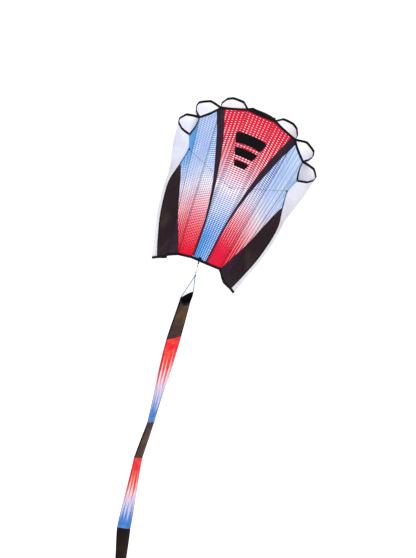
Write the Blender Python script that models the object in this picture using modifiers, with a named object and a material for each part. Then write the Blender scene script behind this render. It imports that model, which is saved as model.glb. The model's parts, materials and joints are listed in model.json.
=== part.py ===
"""A single-line foil kite with a tube tail.

Seven tapered air cells are sewn side by side. Each has a lower panel, an arched upper skin that is
open at the leading edge, and a bound lip round its mouth. A two-leg bridle ends in a tow loop, and a
tail hangs from the middle of the trailing edge on a snap swivel.

The canopy is laid out in its own axes: X along the span, Z from the trailing edge (0) up to the
leading edge, and Y from the printed face towards the upper skin. It leans to the right over a tail
that hangs straight down. The world origin is the end of the tow loop.
"""

from math import cos, pi, radians, sin

import bmesh
import bpy
from mathutils import Matrix, Vector

# --- driving dimensions, in metres and degrees ---------------------------------------------------
LEAN = radians(8.3)  # the canopy's lean to the right, about Y
SIGHT = Vector((0, -cos(radians(20)), sin(radians(20))))  # the way the flying line leaves

# ends of the seams right of the middle, from the innermost to the wing tip
LEADING = [(0.088, -0.004, 0.999), (0.238, -0.045, 0.957), (0.331, -0.150, 0.887)]
TRAILING = [(0.050, -0.002, 0.000), (0.128, -0.020, -0.002), (0.183, -0.085, -0.022)]
# the wing tip's edge, from the trailing edge to the leading edge; the bridle pulls in the sixth point
SIDE_EDGE = [
    (0.234, -0.165, -0.025),
    (0.270, -0.186, 0.082),
    (0.319, -0.206, 0.255),
    (0.348, -0.236, 0.460),
    (0.328, -0.252, 0.606),
    (0.317, -0.262, 0.716),
    (0.345, -0.285, 0.811),
]
BRIDLE_AT = 5  # the point of the side edge that holds the bridle
SEAMS = (-4, -3, -2, -1, 1, 2, 3, 4)  # left tip to right tip; the middle cell lies between -1 and 1
CELLS = 7
MIDDLE = 3  # the middle cell's place in the row

CELL_HEIGHT = 0.100  # of an open mouth
MIDDLE_HEIGHT = 0.040
END_HEIGHT = 0.005  # at the trailing edge
TIP_END_HEIGHT = 0.006  # and there on the outermost cells
TIP_REACH = 0.103  # how wide the outermost skins, pressed flat there, fold past their lower panels
TIP_CORNER = 0.046  # from the side edge to the fold, along the trailing edge
TIP_FULLNESS = 0.025  # how much fuller the outermost cells are half way along the chord
LIP_FORWARD = 0.020  # how far the top of a lip stands ahead of the lower panel
BILLOW = 0.006  # of a lower panel between its seams
CAMBER = 0.012

CLOTH = 0.0008
GAP = 0.0003
BINDING_R = 0.0025  # of a bound edge
LIP_R = 0.0030
SEAM_GAP = 0.0006  # from a seam line to each lower panel
END_CLEAR = 0.0065  # from a chord's ends to the cloth, clear of the slanting bindings
WALL_INSET = 0.0034  # from a seam line to each upper skin
WALL_LIFT = 0.0020  # from the lower panels' middle to the upper skins' edges
TIP_LIFT = 0.0016  # and this much more where an outermost skin folds past its side edge
CHORD_STEPS = 8  # mesh steps along the chord
SPAN_STEPS = 2
ARCH_STEPS = 8
LIP_STEPS = 12
TUBE_STEPS = (12, 8)  # round the tail and down a section

POUCH = (0.136, 0.016, 0.015)  # the rolled pouch's length, depth and height
POUCH_AT = (-0.003, 0.0095, 0.0030)  # its middle, from the middle of the leading edge
POUCH_TILT = radians(3.5)  # its left end is the higher one
BEAD_AT = (0.079, 0.0060, 0.0088)
BEAD_R, BEAD_LENGTH, BEAD_BORE = 0.0046, 0.009, 0.0012

KNOT_AT = Vector((0, -0.700, 0.750))  # where the bridle's two legs meet
BRIDLE_KNOT_R = 0.0035
TAB_WIDTH, TAB_LENGTH, TAB_THICK = 0.010, 0.020, 0.0016
TOW_LOOP = 0.032  # its length
TOW_HALF_WIDTH = 0.006
CORD_R = 0.0008

PATCH_WIDTH, PATCH_HEIGHT = 0.046, 0.024  # of the triangular tail tab
STRAP_WIDTH = 0.008
WEB = 0.0012  # the thickness of the tab's and the strap's webbing
STRAP_BORE = 0.0018
STRAP_DROP = 0.017  # from the trailing edge to the strap's bight
STRAP_NECK = -0.0085  # where its two leaves part

# heights on the swivel, below the middle of the trailing edge
WIRE_R = 0.0009
UPPER_BARREL = (-0.0275, 0.012, 0.0046)  # top, length and radius
LOWER_BARREL = (-0.0672, 0.010, 0.0040)
BARREL_BORE = 0.0014
SNAP_HALF_WIDTH = 0.0055
SNAP_BEND = -0.0555
GATE_PIVOT = (0.0026, 0, -0.0440)
LOWER_EYE, LOWER_EYE_R = -0.0623, 0.0034
TAIL_RING, TAIL_RING_R = -0.0812, 0.0030
EYE_TURN = 310  # degrees of a wire eye's ring
KNOT_TOP, KNOT_BOTTOM, KNOT_R = -0.0862, -0.105, 0.0042

TAIL_WIDTH = 0.092  # of the tube laid flat
TAIL_DEPTH = 0.024  # of a section's middle
JOIN_DEPTH = 0.008  # where two sections join
MOUTH_DEPTH = 0.040
MOUTH_DIP = 0.050  # how far the near lip sags
JOIN_GAP = 0.004  # between two sections, so that they can fold
HEM_R = 0.0018
LINE_R = 0.0011  # of the tail's two lines

# The tail's rings, from its mouth to its end: the middle (below the middle of the trailing edge)
# and the way to its right-hand corner.
TAIL_RINGS = [
    ((-0.020, 0.000, -0.227), (0.66, 0.58, 0.47)),
    ((-0.031, 0.000, -0.505), (0.80, 0.48, 0.34)),
    ((-0.038, 0.000, -1.058), (0.38, 0.92, -0.10)),
    ((-0.058, 0.000, -1.294), (0.46, 0.86, -0.20)),
    ((-0.037, 0.000, -1.751), (0.79, 0.61, -0.08)),
    ((0.002, 0.000, -2.005), (0.58, 0.81, -0.03)),
]

PARTS = None
TOW = KNOT_AT + TOW_LOOP * SIGHT


# --- scene, materials and objects ----------------------------------------------------------------
def clear_scene():
    """Empties the scene and makes the kite's collection."""
    global PARTS
    for item in list(bpy.data.objects):
        bpy.data.objects.remove(item)
    PARTS = bpy.data.collections.new("foil_kite")
    bpy.context.scene.collection.children.link(PARTS)


def material(name, colour, roughness, metallic=0.0):
    made = bpy.data.materials.new(name)
    made.use_nodes = True
    shader = made.node_tree.nodes["Principled BSDF"]
    shader.inputs["Base Color"].default_value = (*colour, 1.0)
    shader.inputs["Roughness"].default_value = roughness
    shader.inputs["Metallic"].default_value = metallic
    return made


def empty(name, matrix):
    made = bpy.data.objects.new(name, None)
    made.matrix_world = matrix
    PARTS.objects.link(made)
    return made


def add(name, data, finish, parent, origin=(0, 0, 0)):
    """An object for data, whose points are given in its parent's axes; origin is its own place there."""
    data.materials.append(finish)
    data.transform(Matrix.Translation(-Vector(origin)))
    made = bpy.data.objects.new(name, data)
    made.parent = parent
    made.location = origin
    PARTS.objects.link(made)
    return made


def solidify(made, thickness=CLOTH):
    shell = made.modifiers.new("cloth", "SOLIDIFY")
    shell.thickness = thickness
    shell.offset = 0.0
    return made


def cloth_grid(name, place, across, along, finish, parent, origin=(0, 0, 0), closed=False):
    """A cloth sheet: place(s, t) gives the point for s across and t along, both from 0 to 1."""
    mesh = bpy.data.meshes.new(name)
    bm = bmesh.new()
    bmesh.ops.create_grid(bm, x_segments=across, y_segments=along, size=1.0)
    for vertex in bm.verts:
        vertex.co = place((vertex.co.x + 1) / 2, (vertex.co.y + 1) / 2)
    if closed:
        bmesh.ops.remove_doubles(bm, verts=bm.verts, dist=0.00001)
    bm.to_mesh(mesh)
    bm.free()
    mesh.shade_smooth()
    return solidify(add(name, mesh, finish, parent, origin))


def cord(name, points, radius, finish, parent, origin=(0, 0, 0), closed=False, sides=2):
    """A round cord, tape edge or wire through the points."""
    curve = bpy.data.curves.new(name, "CURVE")
    curve.dimensions = "3D"
    curve.bevel_depth = radius
    curve.bevel_resolution = sides
    curve.use_fill_caps = not closed
    spline = curve.splines.new("POLY")
    spline.points.add(len(points) - 1)
    for point, place in zip(spline.points, points):
        point.co = (*place, 1.0)
    spline.use_cyclic_u = closed
    return add(name, curve, finish, parent, origin)


def turned(name, profile, finish, parent, origin, steps, bored=True):
    """A turned piece: profile holds (radius, height) down its outer side and, if bored, back up its bore."""
    mesh = bpy.data.meshes.new(name)
    bm = bmesh.new()
    ring = [bm.verts.new((radius, 0, height)) for radius, height in profile]
    after = ring[1:] + ring[:1] if bored else ring[1:]
    for first, second in zip(ring, after):
        bm.edges.new((first, second))
    bm.to_mesh(mesh)
    bm.free()
    made = add(name, mesh, finish, parent)
    made.location = origin
    screw = made.modifiers.new("turn", "SCREW")
    screw.steps = steps
    screw.render_steps = steps
    screw.use_merge_vertices = True
    screw.merge_threshold = 0.00001
    screw.use_smooth_shade = True
    return made


def flat_plate(name, outline, thickness, finish, parent, matrix):
    """A flat plate cut to the outline, which lies in its own XY plane."""
    curve = bpy.data.curves.new(name, "CURVE")
    curve.dimensions = "2D"
    curve.fill_mode = "BOTH"
    curve.extrude = thickness / 2
    spline = curve.splines.new("POLY")
    spline.points.add(len(outline) - 1)
    for point, (x, y) in zip(spline.points, outline):
        point.co = (x, y, 0, 1)
    spline.use_cyclic_u = True
    made = add(name, curve, finish, parent)
    made.matrix_local = matrix
    return made


def smooth(points, steps):
    """Points on a smooth curve through the given ones, with that many steps between each two."""
    known = [Vector(point) for point in points]
    padded = [2 * known[0] - known[1], *known, 2 * known[-1] - known[-2]]
    made = []
    for p0, p1, p2, p3 in zip(padded, padded[1:], padded[2:], padded[3:]):
        for step in range(steps):
            t = step / steps
            made.append(
                0.5
                * (
                    2 * p1
                    + (p2 - p0) * t
                    + (2 * p0 - 5 * p1 + 4 * p2 - p3) * t**2
                    + (3 * p1 - p0 - 3 * p2 + p3) * t**3
                )
            )
    return [*made, known[-1]]


# --- the canopy's surfaces -----------------------------------------------------------------------
EDGE_STEPS = 12
EDGE_CURVE = smooth(SIDE_EDGE, EDGE_STEPS)


def seam(number, t):
    """The point of a seam at t, from 0 at the trailing edge to 1 at the leading edge."""
    side = abs(number)
    if side == len(LEADING) + 1:
        place = t * (len(EDGE_CURVE) - 1)
        at = max(0, min(int(place), len(EDGE_CURVE) - 2))
        point = EDGE_CURVE[at].lerp(EDGE_CURVE[at + 1], place - at)
    else:
        point = Vector(TRAILING[side - 1]).lerp(Vector(LEADING[side - 1]), t)
        point.y += CAMBER * 4 * t * (1 - t)
    return Vector((point.x if number > 0 else -point.x, point.y, point.z))


def outward(cell, t):
    """The way a cell's upper skin stands up from its lower panel."""
    left, right = SEAMS[cell], SEAMS[cell + 1]
    low, high = max(0.0, t - 0.05), min(1.0, t + 0.05)
    chord = seam(left, high) + seam(right, high) - seam(left, low) - seam(right, low)
    return chord.cross(seam(right, t) - seam(left, t)).normalized()


def trimmed(s, width, left, right):
    """s, from 0 to 1, kept that far in from the left and right ends of a width."""
    return left / width + s * (1 - (left + right) / width)


def lower_point(cell, s, t):
    """A point of a cell's lower panel."""
    left, right = seam(SEAMS[cell], t), seam(SEAMS[cell + 1], t)
    width = (right - left).length
    edge = BINDING_R + GAP + CLOTH
    share = trimmed(s, width, edge if cell == 0 else SEAM_GAP, edge if cell == CELLS - 1 else SEAM_GAP)
    return left.lerp(right, share) - BILLOW * 4 * s * (1 - s) * t * outward(cell, t)


def cell_height(cell, t):
    full = MIDDLE_HEIGHT if cell == MIDDLE else CELL_HEIGHT
    if cell in (0, CELLS - 1):
        return TIP_END_HEIGHT + (full - TIP_END_HEIGHT) * t + TIP_FULLNESS * 4 * t * (1 - t)
    return END_HEIGHT + (full - END_HEIGHT) * t


def slack(number, t):
    """How far the bridle and the air pull a tip's edge off the straight line between its ends."""
    if abs(number) <= len(LEADING):
        return Vector((0, 0, 0))
    return seam(number, t) - seam(number, 0).lerp(seam(number, 1), t)


def tip_fold(cell, s, t):
    """How far a point of an outermost upper skin lies out past its arch, pressed flat by the wind."""
    if cell not in (0, CELLS - 1):
        return Vector((0, 0, 0))
    inner, edge, out = (SEAMS[1], SEAMS[0], 1 - s) if cell == 0 else (SEAMS[-2], SEAMS[-1], s)
    away = (seam(edge, t) - seam(inner, t)).normalized()
    reach = TIP_REACH * (1 - t) ** 2 * sin(pi * s) * (1 - cos(pi * out)) / 2
    return reach * away + TIP_LIFT * (1 - t) ** 4 * outward(cell, t)


def upper_point(cell, s, t):
    """A point of a cell's upper skin, an arch from seam to seam; t = 1 is the lip."""
    arch = sin(pi * s)
    ahead = 0 if cell == MIDDLE else LIP_FORWARD * arch * t**4
    left, right = seam(SEAMS[cell], t), seam(SEAMS[cell + 1], t)
    share = trimmed((1 - cos(pi * s)) / 2, (right - left).length, WALL_INSET, WALL_INSET)
    # the top of an outermost cell runs straight, whatever its edge does
    taut = arch**2 * (share * slack(SEAMS[cell + 1], t) + (1 - share) * slack(SEAMS[cell], t))
    forward = (seam(SEAMS[cell], 1) - seam(SEAMS[cell], 0)).normalized()
    rise = (WALL_LIFT + cell_height(cell, t) * arch) * outward(cell, t)
    return left.lerp(right, share) - taut + rise + ahead * forward + tip_fold(cell, s, t)


def chord_part(t, low, high):
    """t, from 0 to 1, kept low and high metres in from a chord's two ends."""
    chord = LEADING[0][2]
    return low / chord + t * (1 - (low + high) / chord)


# --- the canopy's pieces -------------------------------------------------------------------------
def make_cells(canopy, printed, white, black):
    for cell in range(CELLS):
        cloth_grid(
            f"lower_panel_{cell + 1}",
            lambda s, t, cell=cell: lower_point(cell, s, chord_part(t, END_CLEAR, END_CLEAR)),
            SPAN_STEPS,
            CHORD_STEPS,
            printed,
            canopy,
        )
        cloth_grid(
            f"upper_skin_{cell + 1}",
            lambda s, t, cell=cell: upper_point(cell, s, chord_part(t, END_CLEAR, END_CLEAR)),
            ARCH_STEPS,
            CHORD_STEPS,
            white,
            canopy,
        )
        start = (BINDING_R + LIP_R + 3 * GAP) / cell_height(cell, 1) / pi
        lip = [upper_point(cell, start + i / LIP_STEPS * (1 - 2 * start), 1) for i in range(LIP_STEPS + 1)]
        cord(f"lip_binding_{cell + 1}", lip, LIP_R, black, canopy, sides=1)


def make_bindings(canopy, black):
    leading = []
    for cell in range(CELLS):
        left, right = seam(SEAMS[cell], 1), seam(SEAMS[cell + 1], 1)
        leading += [
            left.lerp(right, i / 3) - BILLOW * 4 * i / 3 * (1 - i / 3) * outward(cell, 1)
            for i in range(3)
        ]
    leading.append(seam(SEAMS[-1], 1))
    cord("leading_edge_binding", leading, BINDING_R, black, canopy, sides=1)

    # the trailing edge's binding runs on past the corners, along the outermost skins' folded ends
    tips = [seam(number, 0) for number in SEAMS]
    trailing = [tips[0] + TIP_CORNER * (tips[0] - tips[1]).normalized()]
    for left, right in zip(tips, tips[1:]):
        trailing += [left.lerp(right, i / 2) for i in range(2)]
    trailing += [tips[-1], tips[-1] + TIP_CORNER * (tips[-1] - tips[-2]).normalized()]
    cord("trailing_edge_binding", trailing, BINDING_R, black, canopy, sides=1)

    for side, number in (("left", SEAMS[0]), ("right", SEAMS[-1])):
        steps = [i / CHORD_STEPS for i in range(CHORD_STEPS + 1)]
        edge = [seam(number, chord_part(t, END_CLEAR, END_CLEAR)) for t in steps]
        cord(f"side_binding_{side}", edge, BINDING_R, black, canopy, sides=1)


def make_pouch(canopy, black, plastic):
    """The rolled stow pouch in the middle cell's mouth, and the cord bead at its right end."""
    lip = Vector((0, LEADING[0][1], LEADING[0][2]))
    mesh = bpy.data.meshes.new("stow_pouch")
    bm = bmesh.new()
    bmesh.ops.create_cube(bm, size=1.0, matrix=Matrix.Diagonal((*POUCH, 1)))
    bmesh.ops.subdivide_edges(bm, edges=bm.edges, cuts=1, use_grid_fill=True)
    bm.to_mesh(mesh)
    bm.free()
    mesh.shade_smooth()
    pouch = add("stow_pouch", mesh, black, canopy)
    pouch.location = lip + Vector(POUCH_AT)
    pouch.rotation_euler = (0, POUCH_TILT, 0)
    rounding = pouch.modifiers.new("soft", "SUBSURF")
    rounding.levels = 1
    rounding.render_levels = 1

    half = BEAD_LENGTH / 2
    bead = [(BEAD_R, half), (BEAD_R, -half), (BEAD_BORE, -half), (BEAD_BORE, half)]
    knob = turned("pouch_bead", bead, plastic, canopy, lip + Vector(BEAD_AT), 16)
    knob.rotation_euler = (0, pi / 2, 0)


def make_bridle(canopy, cord_black, black):
    """Two legs from the side edges to a knot, and the tow loop that a flying line is hitched to."""
    for side, sign in (("left", -1), ("right", 1)):
        hold = Vector(SIDE_EDGE[BRIDLE_AT])
        hold.x *= sign
        way = (KNOT_AT - hold).normalized()
        tab_start, tab_end = hold + (BINDING_R + 2 * GAP) * way, hold + TAB_LENGTH * way
        across = way.cross(Vector((0, 0, 1))).normalized()
        upright = across.cross(way).normalized()
        wide, length = TAB_WIDTH, (tab_end - tab_start).length
        outline = [(-wide / 2, 0), (wide / 2, 0), (wide / 3, length), (-wide / 3, length)]
        lay = Matrix((upright, way, upright.cross(way))).transposed().to_4x4()
        place = Matrix.Translation(tab_start) @ lay
        flat_plate(f"bridle_tab_{side}", outline, TAB_THICK, black, canopy, place)
        first, last = tab_end + 2 * GAP * way, KNOT_AT - (BRIDLE_KNOT_R + 2 * GAP) * way
        leg = [first.lerp(last, i / 4) for i in range(5)]
        cord(f"bridle_leg_{side}", leg, CORD_R, cord_black, canopy)

    mesh = bpy.data.meshes.new("bridle_knot")
    bm = bmesh.new()
    bmesh.ops.create_uvsphere(bm, u_segments=12, v_segments=7, radius=BRIDLE_KNOT_R)
    bm.to_mesh(mesh)
    bm.free()
    mesh.shade_smooth()
    knot = add("bridle_knot", mesh, cord_black, canopy)
    knot.location = KNOT_AT

    wide = TOW_HALF_WIDTH
    start = BRIDLE_KNOT_R + 3 * GAP
    body = TOW_LOOP - CORD_R - wide
    right_side = [(0.0012, start), (wide * 0.8, start + 0.008), (wide, start + 0.014)]
    bight = [(wide * cos(a * pi / 8), body + wide * sin(a * pi / 8)) for a in range(9)]
    left_side = [(-x, along) for x, along in reversed(right_side)]
    loop = [KNOT_AT + Vector((x, 0, 0)) + along * SIGHT for x, along in right_side + bight + left_side]
    cord("tow_loop", loop, CORD_R, cord_black, canopy)


def make_tail_tab(canopy, tail, black):
    """The triangular patch in the middle of the trailing edge, and the strap that hangs from it."""
    base = BINDING_R + 2 * GAP
    front = -(BILLOW + 0.003)
    lay = Matrix.Translation((0, front, base)) @ Matrix.Rotation(pi / 2, 4, "X")
    triangle = [(-PATCH_WIDTH / 2, 0), (PATCH_WIDTH / 2, 0), (0, PATCH_HEIGHT)]
    flat_plate("tail_tab", triangle, WEB, black, canopy, lay)

    # a folded strap: down, round the clip's bar and up again
    top = -base
    neck = 0.0005  # half the gap between its leaves
    arc = [(cos(a), sin(a)) for a in (-i * pi / 10 for i in range(11))]
    inner = [(STRAP_BORE * y, STRAP_BORE * z - STRAP_DROP) for y, z in arc]
    outer = [((STRAP_BORE + WEB) * y, (STRAP_BORE + WEB) * z - STRAP_DROP) for y, z in arc]
    outline = (
        [(-WEB - neck, top), (-WEB - neck, STRAP_NECK)]
        + list(reversed(outer))
        + [(WEB + neck, STRAP_NECK), (WEB + neck, top), (neck, top), (neck, STRAP_NECK - 0.001)]
        + inner
        + [(-neck, STRAP_NECK - 0.001), (-neck, top)]
    )
    lay = Matrix(((0, 0, 1, 0), (1, 0, 0, 0), (0, 1, 0, 0), (0, 0, 0, 1)))
    flat_plate("tail_strap", outline, STRAP_WIDTH, black, tail, lay)


# --- the snap swivel -----------------------------------------------------------------------------
def barrel(name, shape, brass, tail):
    """A turned brass barrel with a bore right through; shape is its top, length and radius."""
    top, length, radius = shape
    outline = [(0.55, 0), (0.80, 0.08), (1, 0.28), (1, 0.72), (0.80, 0.92), (0.55, 1)]
    side = [(share * radius, -down * length) for share, down in outline]
    profile = [(BARREL_BORE, 0), *side, (BARREL_BORE, -length)]
    return turned(name, profile, brass, tail, (0, 0, top), 12)


def wire_eye(centre, radius, shank):
    """A wire eye's path in its own plane: from its shank, then most of the way round its ring."""
    start = -90 if shank < centre else 90
    turns = [radians(start + i * EYE_TURN / 12) for i in range(13)]
    return [(0, shank), *[(radius * cos(a), centre + radius * sin(a)) for a in turns]]


def make_swivel(tail, brass, steel):
    """The snap swivel: an eye on the strap, a barrel, a snap with a sprung gate, and a second barrel."""
    bar = -STRAP_DROP
    link = [(0, -0.0325), (0, -0.0262), (-0.0022, -0.0242), (-0.0060, bar - 0.0018)]
    link += [(-0.0052, bar), (0.0052, bar), (0.0060, bar - 0.0018), (0.0024, -0.0240)]
    cord("strap_link", [(x, 0, z) for x, z in link], WIRE_R, steel, tail, (0, 0, bar))
    barrel("upper_barrel", UPPER_BARREL, brass, tail)

    wide, low = SNAP_HALF_WIDTH, SNAP_BEND
    gate_end = low + 0.0020
    snap = [(0, -0.0340), (0, -0.0412), (-0.0022, -0.0432), (-wide, -0.0465)]
    turns = [pi + i * pi / 10 for i in range(11)]
    snap += [(wide * cos(a), low + wide * sin(a)) for a in turns]
    snap.append((wide, gate_end))
    cord("snap_frame", [(x, 0, z) for x, z in snap], WIRE_R, steel, tail, (0, 0, low))
    gate = [GATE_PIVOT, (wide, 0, -0.0468), (wide, 0, gate_end + 3 * GAP)]
    cord("snap_gate", gate, WIRE_R * 0.8, steel, tail, GATE_PIVOT)

    path = [(0, y, z) for y, z in wire_eye(LOWER_EYE, LOWER_EYE_R, -0.0700)]
    cord("lower_eye", path, WIRE_R, steel, tail, (0, 0, low))
    barrel("lower_barrel", LOWER_BARREL, brass, tail)
    path = [(x, 0, z) for x, z in wire_eye(TAIL_RING, TAIL_RING_R, -0.0720)]
    cord("tail_ring", path, WIRE_R, steel, tail)


# --- the tail ------------------------------------------------------------------------------------
def ring_at(place):
    """The tail at place, in rings from the mouth: its middle, the way to its right edge, and its front."""
    first = max(0, min(int(place), len(TAIL_RINGS) - 2))
    share = place - first
    (low, low_way), (high, high_way) = TAIL_RINGS[first : first + 2]
    middle = Vector(low).lerp(Vector(high), share)
    ease = share * share * (3 - 2 * share)
    across = Vector(low_way).lerp(Vector(high_way), ease).normalized()
    front = across.cross(Vector((0, 0, 1))).normalized()
    return middle, across, front


def section_point(section, s, t):
    """A point of a tail section: s goes round it and t down it."""
    length = (Vector(TAIL_RINGS[section][0]) - Vector(TAIL_RINGS[section + 1][0])).length
    middle, across, front = ring_at(section + trimmed(t, length, JOIN_GAP / 2, JOIN_GAP / 2))
    bulge = JOIN_DEPTH + (TAIL_DEPTH - JOIN_DEPTH) * sin(pi * t)
    dip = 0
    angle = 2 * pi * s
    if section == 0:
        opening = max(0, 1 - 3 * t)
        bulge += (MOUTH_DEPTH - JOIN_DEPTH) * opening**2
        dip = MOUTH_DIP * max(0, sin(angle)) ** 2 * opening
    flat = TAIL_WIDTH / 2 * (1 - 0.3 * (bulge / TAIL_WIDTH) ** 2)
    return middle + flat * cos(angle) * across + bulge / 2 * sin(angle) * front - Vector((0, 0, dip))


def make_tail(tail, printed, dark, cord_blue):
    for section in range(len(TAIL_RINGS) - 1):
        join = ring_at(section)[0] if section else Vector((0, 0, 0))
        cloth_grid(
            f"tail_section_{section + 1}",
            lambda s, t, section=section: section_point(section, s, t),
            *TUBE_STEPS,
            printed if section % 2 else dark,
            tail,
            join,
            closed=True,
        )

    lift = Vector((0, 0, HEM_R + CLOTH + 2 * GAP))
    steep = 2.2  # the mouth's rim is steep beside its dip, so its hem stands further off
    round_it = 2 * TUBE_STEPS[0]
    mouth = [section_point(0, i / round_it, 0) + steep * lift for i in range(round_it)]
    cord("mouth_hem", mouth, HEM_R, dark, tail, closed=True, sides=1)
    last = len(TAIL_RINGS) - 2
    hem = [section_point(last, i / round_it, 1) - lift for i in range(round_it)]
    cord("end_hem", hem, HEM_R, dark, tail, ring_at(last)[0], closed=True, sides=1)

    tie = [
        (0, KNOT_TOP),
        (KNOT_R * 0.7, KNOT_TOP),
        (KNOT_R, KNOT_TOP - 0.003),
        (KNOT_R * 0.8, (KNOT_TOP + KNOT_BOTTOM) / 2),
        (KNOT_R, KNOT_BOTTOM + 0.003),
        (KNOT_R * 0.7, KNOT_BOTTOM),
        (0, KNOT_BOTTOM),
    ]
    turned("tail_knot", tie, cord_blue, tail, (0, 0, 0), 12, bored=False)

    for side, share, x in (("left", 0.5, -0.0024), ("right", 0.0, 0.0024)):
        corner = section_point(0, share, 0) + steep * lift + Vector((0, 0, HEM_R + LINE_R + 2 * GAP))
        start = Vector((x, 0, KNOT_BOTTOM - 2 * GAP))
        line = [start.lerp(corner, i / 6) for i in range(7)]
        cord(f"tail_line_{side}", line, LINE_R, cord_blue, tail)


def main():
    clear_scene()
    black = material("black_tape", (0.020, 0.016, 0.020), 0.70)
    printed = material("printed_cloth", (0.80, 0.06, 0.12), 0.55)
    white = material("white_cloth", (0.90, 0.90, 0.94), 0.50)
    dark = material("dark_cloth", (0.060, 0.040, 0.035), 0.60)
    printed_tail = material("tail_print", (0.12, 0.30, 0.70), 0.55)
    cord_black = material("black_cord", (0.03, 0.03, 0.035), 0.60)
    cord_blue = material("blue_cord", (0.05, 0.16, 0.45), 0.60)
    brass = material("brass", (0.80, 0.56, 0.22), 0.25, 1.0)
    steel = material("steel", (0.72, 0.73, 0.75), 0.25, 1.0)
    plastic = material("black_plastic", (0.02, 0.02, 0.02), 0.45)

    lean = Matrix.Rotation(LEAN, 4, "Y") @ Matrix.Translation(-TOW)
    canopy = empty("canopy_frame", lean)
    tail = empty("tail_frame", Matrix.Translation(lean.translation))
    make_cells(canopy, printed, white, black)
    make_bindings(canopy, black)
    make_pouch(canopy, black, plastic)
    make_bridle(canopy, cord_black, black)
    make_tail_tab(canopy, tail, black)
    make_swivel(tail, brass, steel)
    make_tail(tail, printed_tail, dark, cord_blue)
    bpy.context.view_layer.update()


main()
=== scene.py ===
"""The looks of a single-line foil kite with a tube tail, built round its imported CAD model.

The canopy is laid out in its own axes, as in the CAD model: X along the span, Z from the trailing edge
(0) up to the leading edge, Y from the printed face towards the upper skins. s runs across a cell or
round the tail, from 0 to 1, and t runs up the chord or down a tail section.
"""

import json
from functools import lru_cache, reduce
from math import atan2, cos, exp, hypot, log, pi, radians, sin

import bmesh
import bpy
import numpy as np
from mathutils import Matrix, Vector, noise

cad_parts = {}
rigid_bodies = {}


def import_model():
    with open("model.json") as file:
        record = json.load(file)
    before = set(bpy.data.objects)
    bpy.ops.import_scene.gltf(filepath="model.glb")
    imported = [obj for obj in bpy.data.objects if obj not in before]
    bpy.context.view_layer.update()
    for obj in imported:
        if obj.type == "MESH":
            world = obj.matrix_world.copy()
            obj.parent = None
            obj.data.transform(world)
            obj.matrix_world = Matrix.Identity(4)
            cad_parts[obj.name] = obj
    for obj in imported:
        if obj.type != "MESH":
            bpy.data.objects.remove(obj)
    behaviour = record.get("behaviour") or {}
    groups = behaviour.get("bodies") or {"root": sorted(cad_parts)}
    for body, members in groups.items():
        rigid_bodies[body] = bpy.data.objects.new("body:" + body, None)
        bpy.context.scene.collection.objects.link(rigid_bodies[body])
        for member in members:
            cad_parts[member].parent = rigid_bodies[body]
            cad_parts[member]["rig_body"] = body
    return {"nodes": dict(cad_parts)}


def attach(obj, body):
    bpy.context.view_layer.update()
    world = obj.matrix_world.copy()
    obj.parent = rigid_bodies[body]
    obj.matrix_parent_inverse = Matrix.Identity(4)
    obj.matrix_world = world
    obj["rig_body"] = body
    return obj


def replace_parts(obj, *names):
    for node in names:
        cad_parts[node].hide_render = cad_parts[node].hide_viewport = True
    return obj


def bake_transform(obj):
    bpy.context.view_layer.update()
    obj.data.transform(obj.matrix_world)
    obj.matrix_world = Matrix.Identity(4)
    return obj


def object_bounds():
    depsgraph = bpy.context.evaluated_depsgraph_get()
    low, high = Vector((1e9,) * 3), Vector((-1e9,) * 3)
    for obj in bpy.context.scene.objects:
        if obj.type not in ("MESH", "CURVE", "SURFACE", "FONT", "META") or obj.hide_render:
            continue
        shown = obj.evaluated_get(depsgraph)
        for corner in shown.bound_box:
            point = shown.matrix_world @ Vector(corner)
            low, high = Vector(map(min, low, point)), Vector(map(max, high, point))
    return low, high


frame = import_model()
cad_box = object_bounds()

# --- the layout, as in the CAD model -------------------------------------------------------------
LEAN = radians(8.3)
SIGHT = Vector((0, -cos(radians(20)), sin(radians(20))))  # from the sail towards the flyer
LEADING = [(0.088, -0.004, 0.999), (0.238, -0.045, 0.957), (0.331, -0.150, 0.887)]
TRAILING = [(0.050, -0.002, 0.000), (0.128, -0.020, -0.002), (0.183, -0.085, -0.022)]
SIDE_EDGE = [
    (0.234, -0.165, -0.025),
    (0.270, -0.186, 0.082),
    (0.319, -0.206, 0.255),
    (0.348, -0.236, 0.460),
    (0.328, -0.252, 0.606),
    (0.317, -0.262, 0.716),
    (0.345, -0.285, 0.811),
]
BRIDLE_AT = 5  # the point of the side edge that holds the bridle
SEAMS = (-4, -3, -2, -1, 1, 2, 3, 4)
CELLS = 7
MIDDLE = 3
CELL_HEIGHT = 0.100
MIDDLE_HEIGHT = 0.040
END_HEIGHT = 0.001
TIP_END_HEIGHT = 0.0024
TIP_REACH = 0.103  # how wide the outermost skins, pressed flat there, fold past their lower panels
TIP_CORNER = 0.046  # from the side edge to the fold, along the trailing edge
TIP_FULLNESS = 0.025
LIP_FORWARD = 0.020
BILLOW = 0.006
CAMBER = 0.012

KNOT_AT = Vector((0, -0.700, 0.750))
TOW_LOOP = 0.032
TAIL_WIDTH = 0.092
TAIL_FULLNESS = 1.07  # the cloth is drawn that much wider than the CAD tube
TAIL_DEPTH = 0.022
JOIN_DEPTH = 0.008
MOUTH_DEPTH = 0.040
MOUTH_DIP = 0.050
TAIL_RINGS = [
    ((-0.020, 0.000, -0.227), (0.66, 0.58, 0.47)),
    ((-0.031, 0.000, -0.505), (0.80, 0.48, 0.34)),
    ((-0.038, 0.000, -1.058), (0.38, 0.92, -0.10)),
    ((-0.058, 0.000, -1.294), (0.46, 0.86, -0.20)),
    ((-0.037, 0.000, -1.751), (0.79, 0.61, -0.08)),
    ((0.002, 0.000, -2.005), (0.58, 0.81, -0.03)),
]

CANOPY = Matrix.Rotation(LEAN, 4, "Y") @ Matrix.Translation(-(KNOT_AT + TOW_LOOP * SIGHT))
TAIL = Matrix.Translation(CANOPY.translation)

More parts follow.
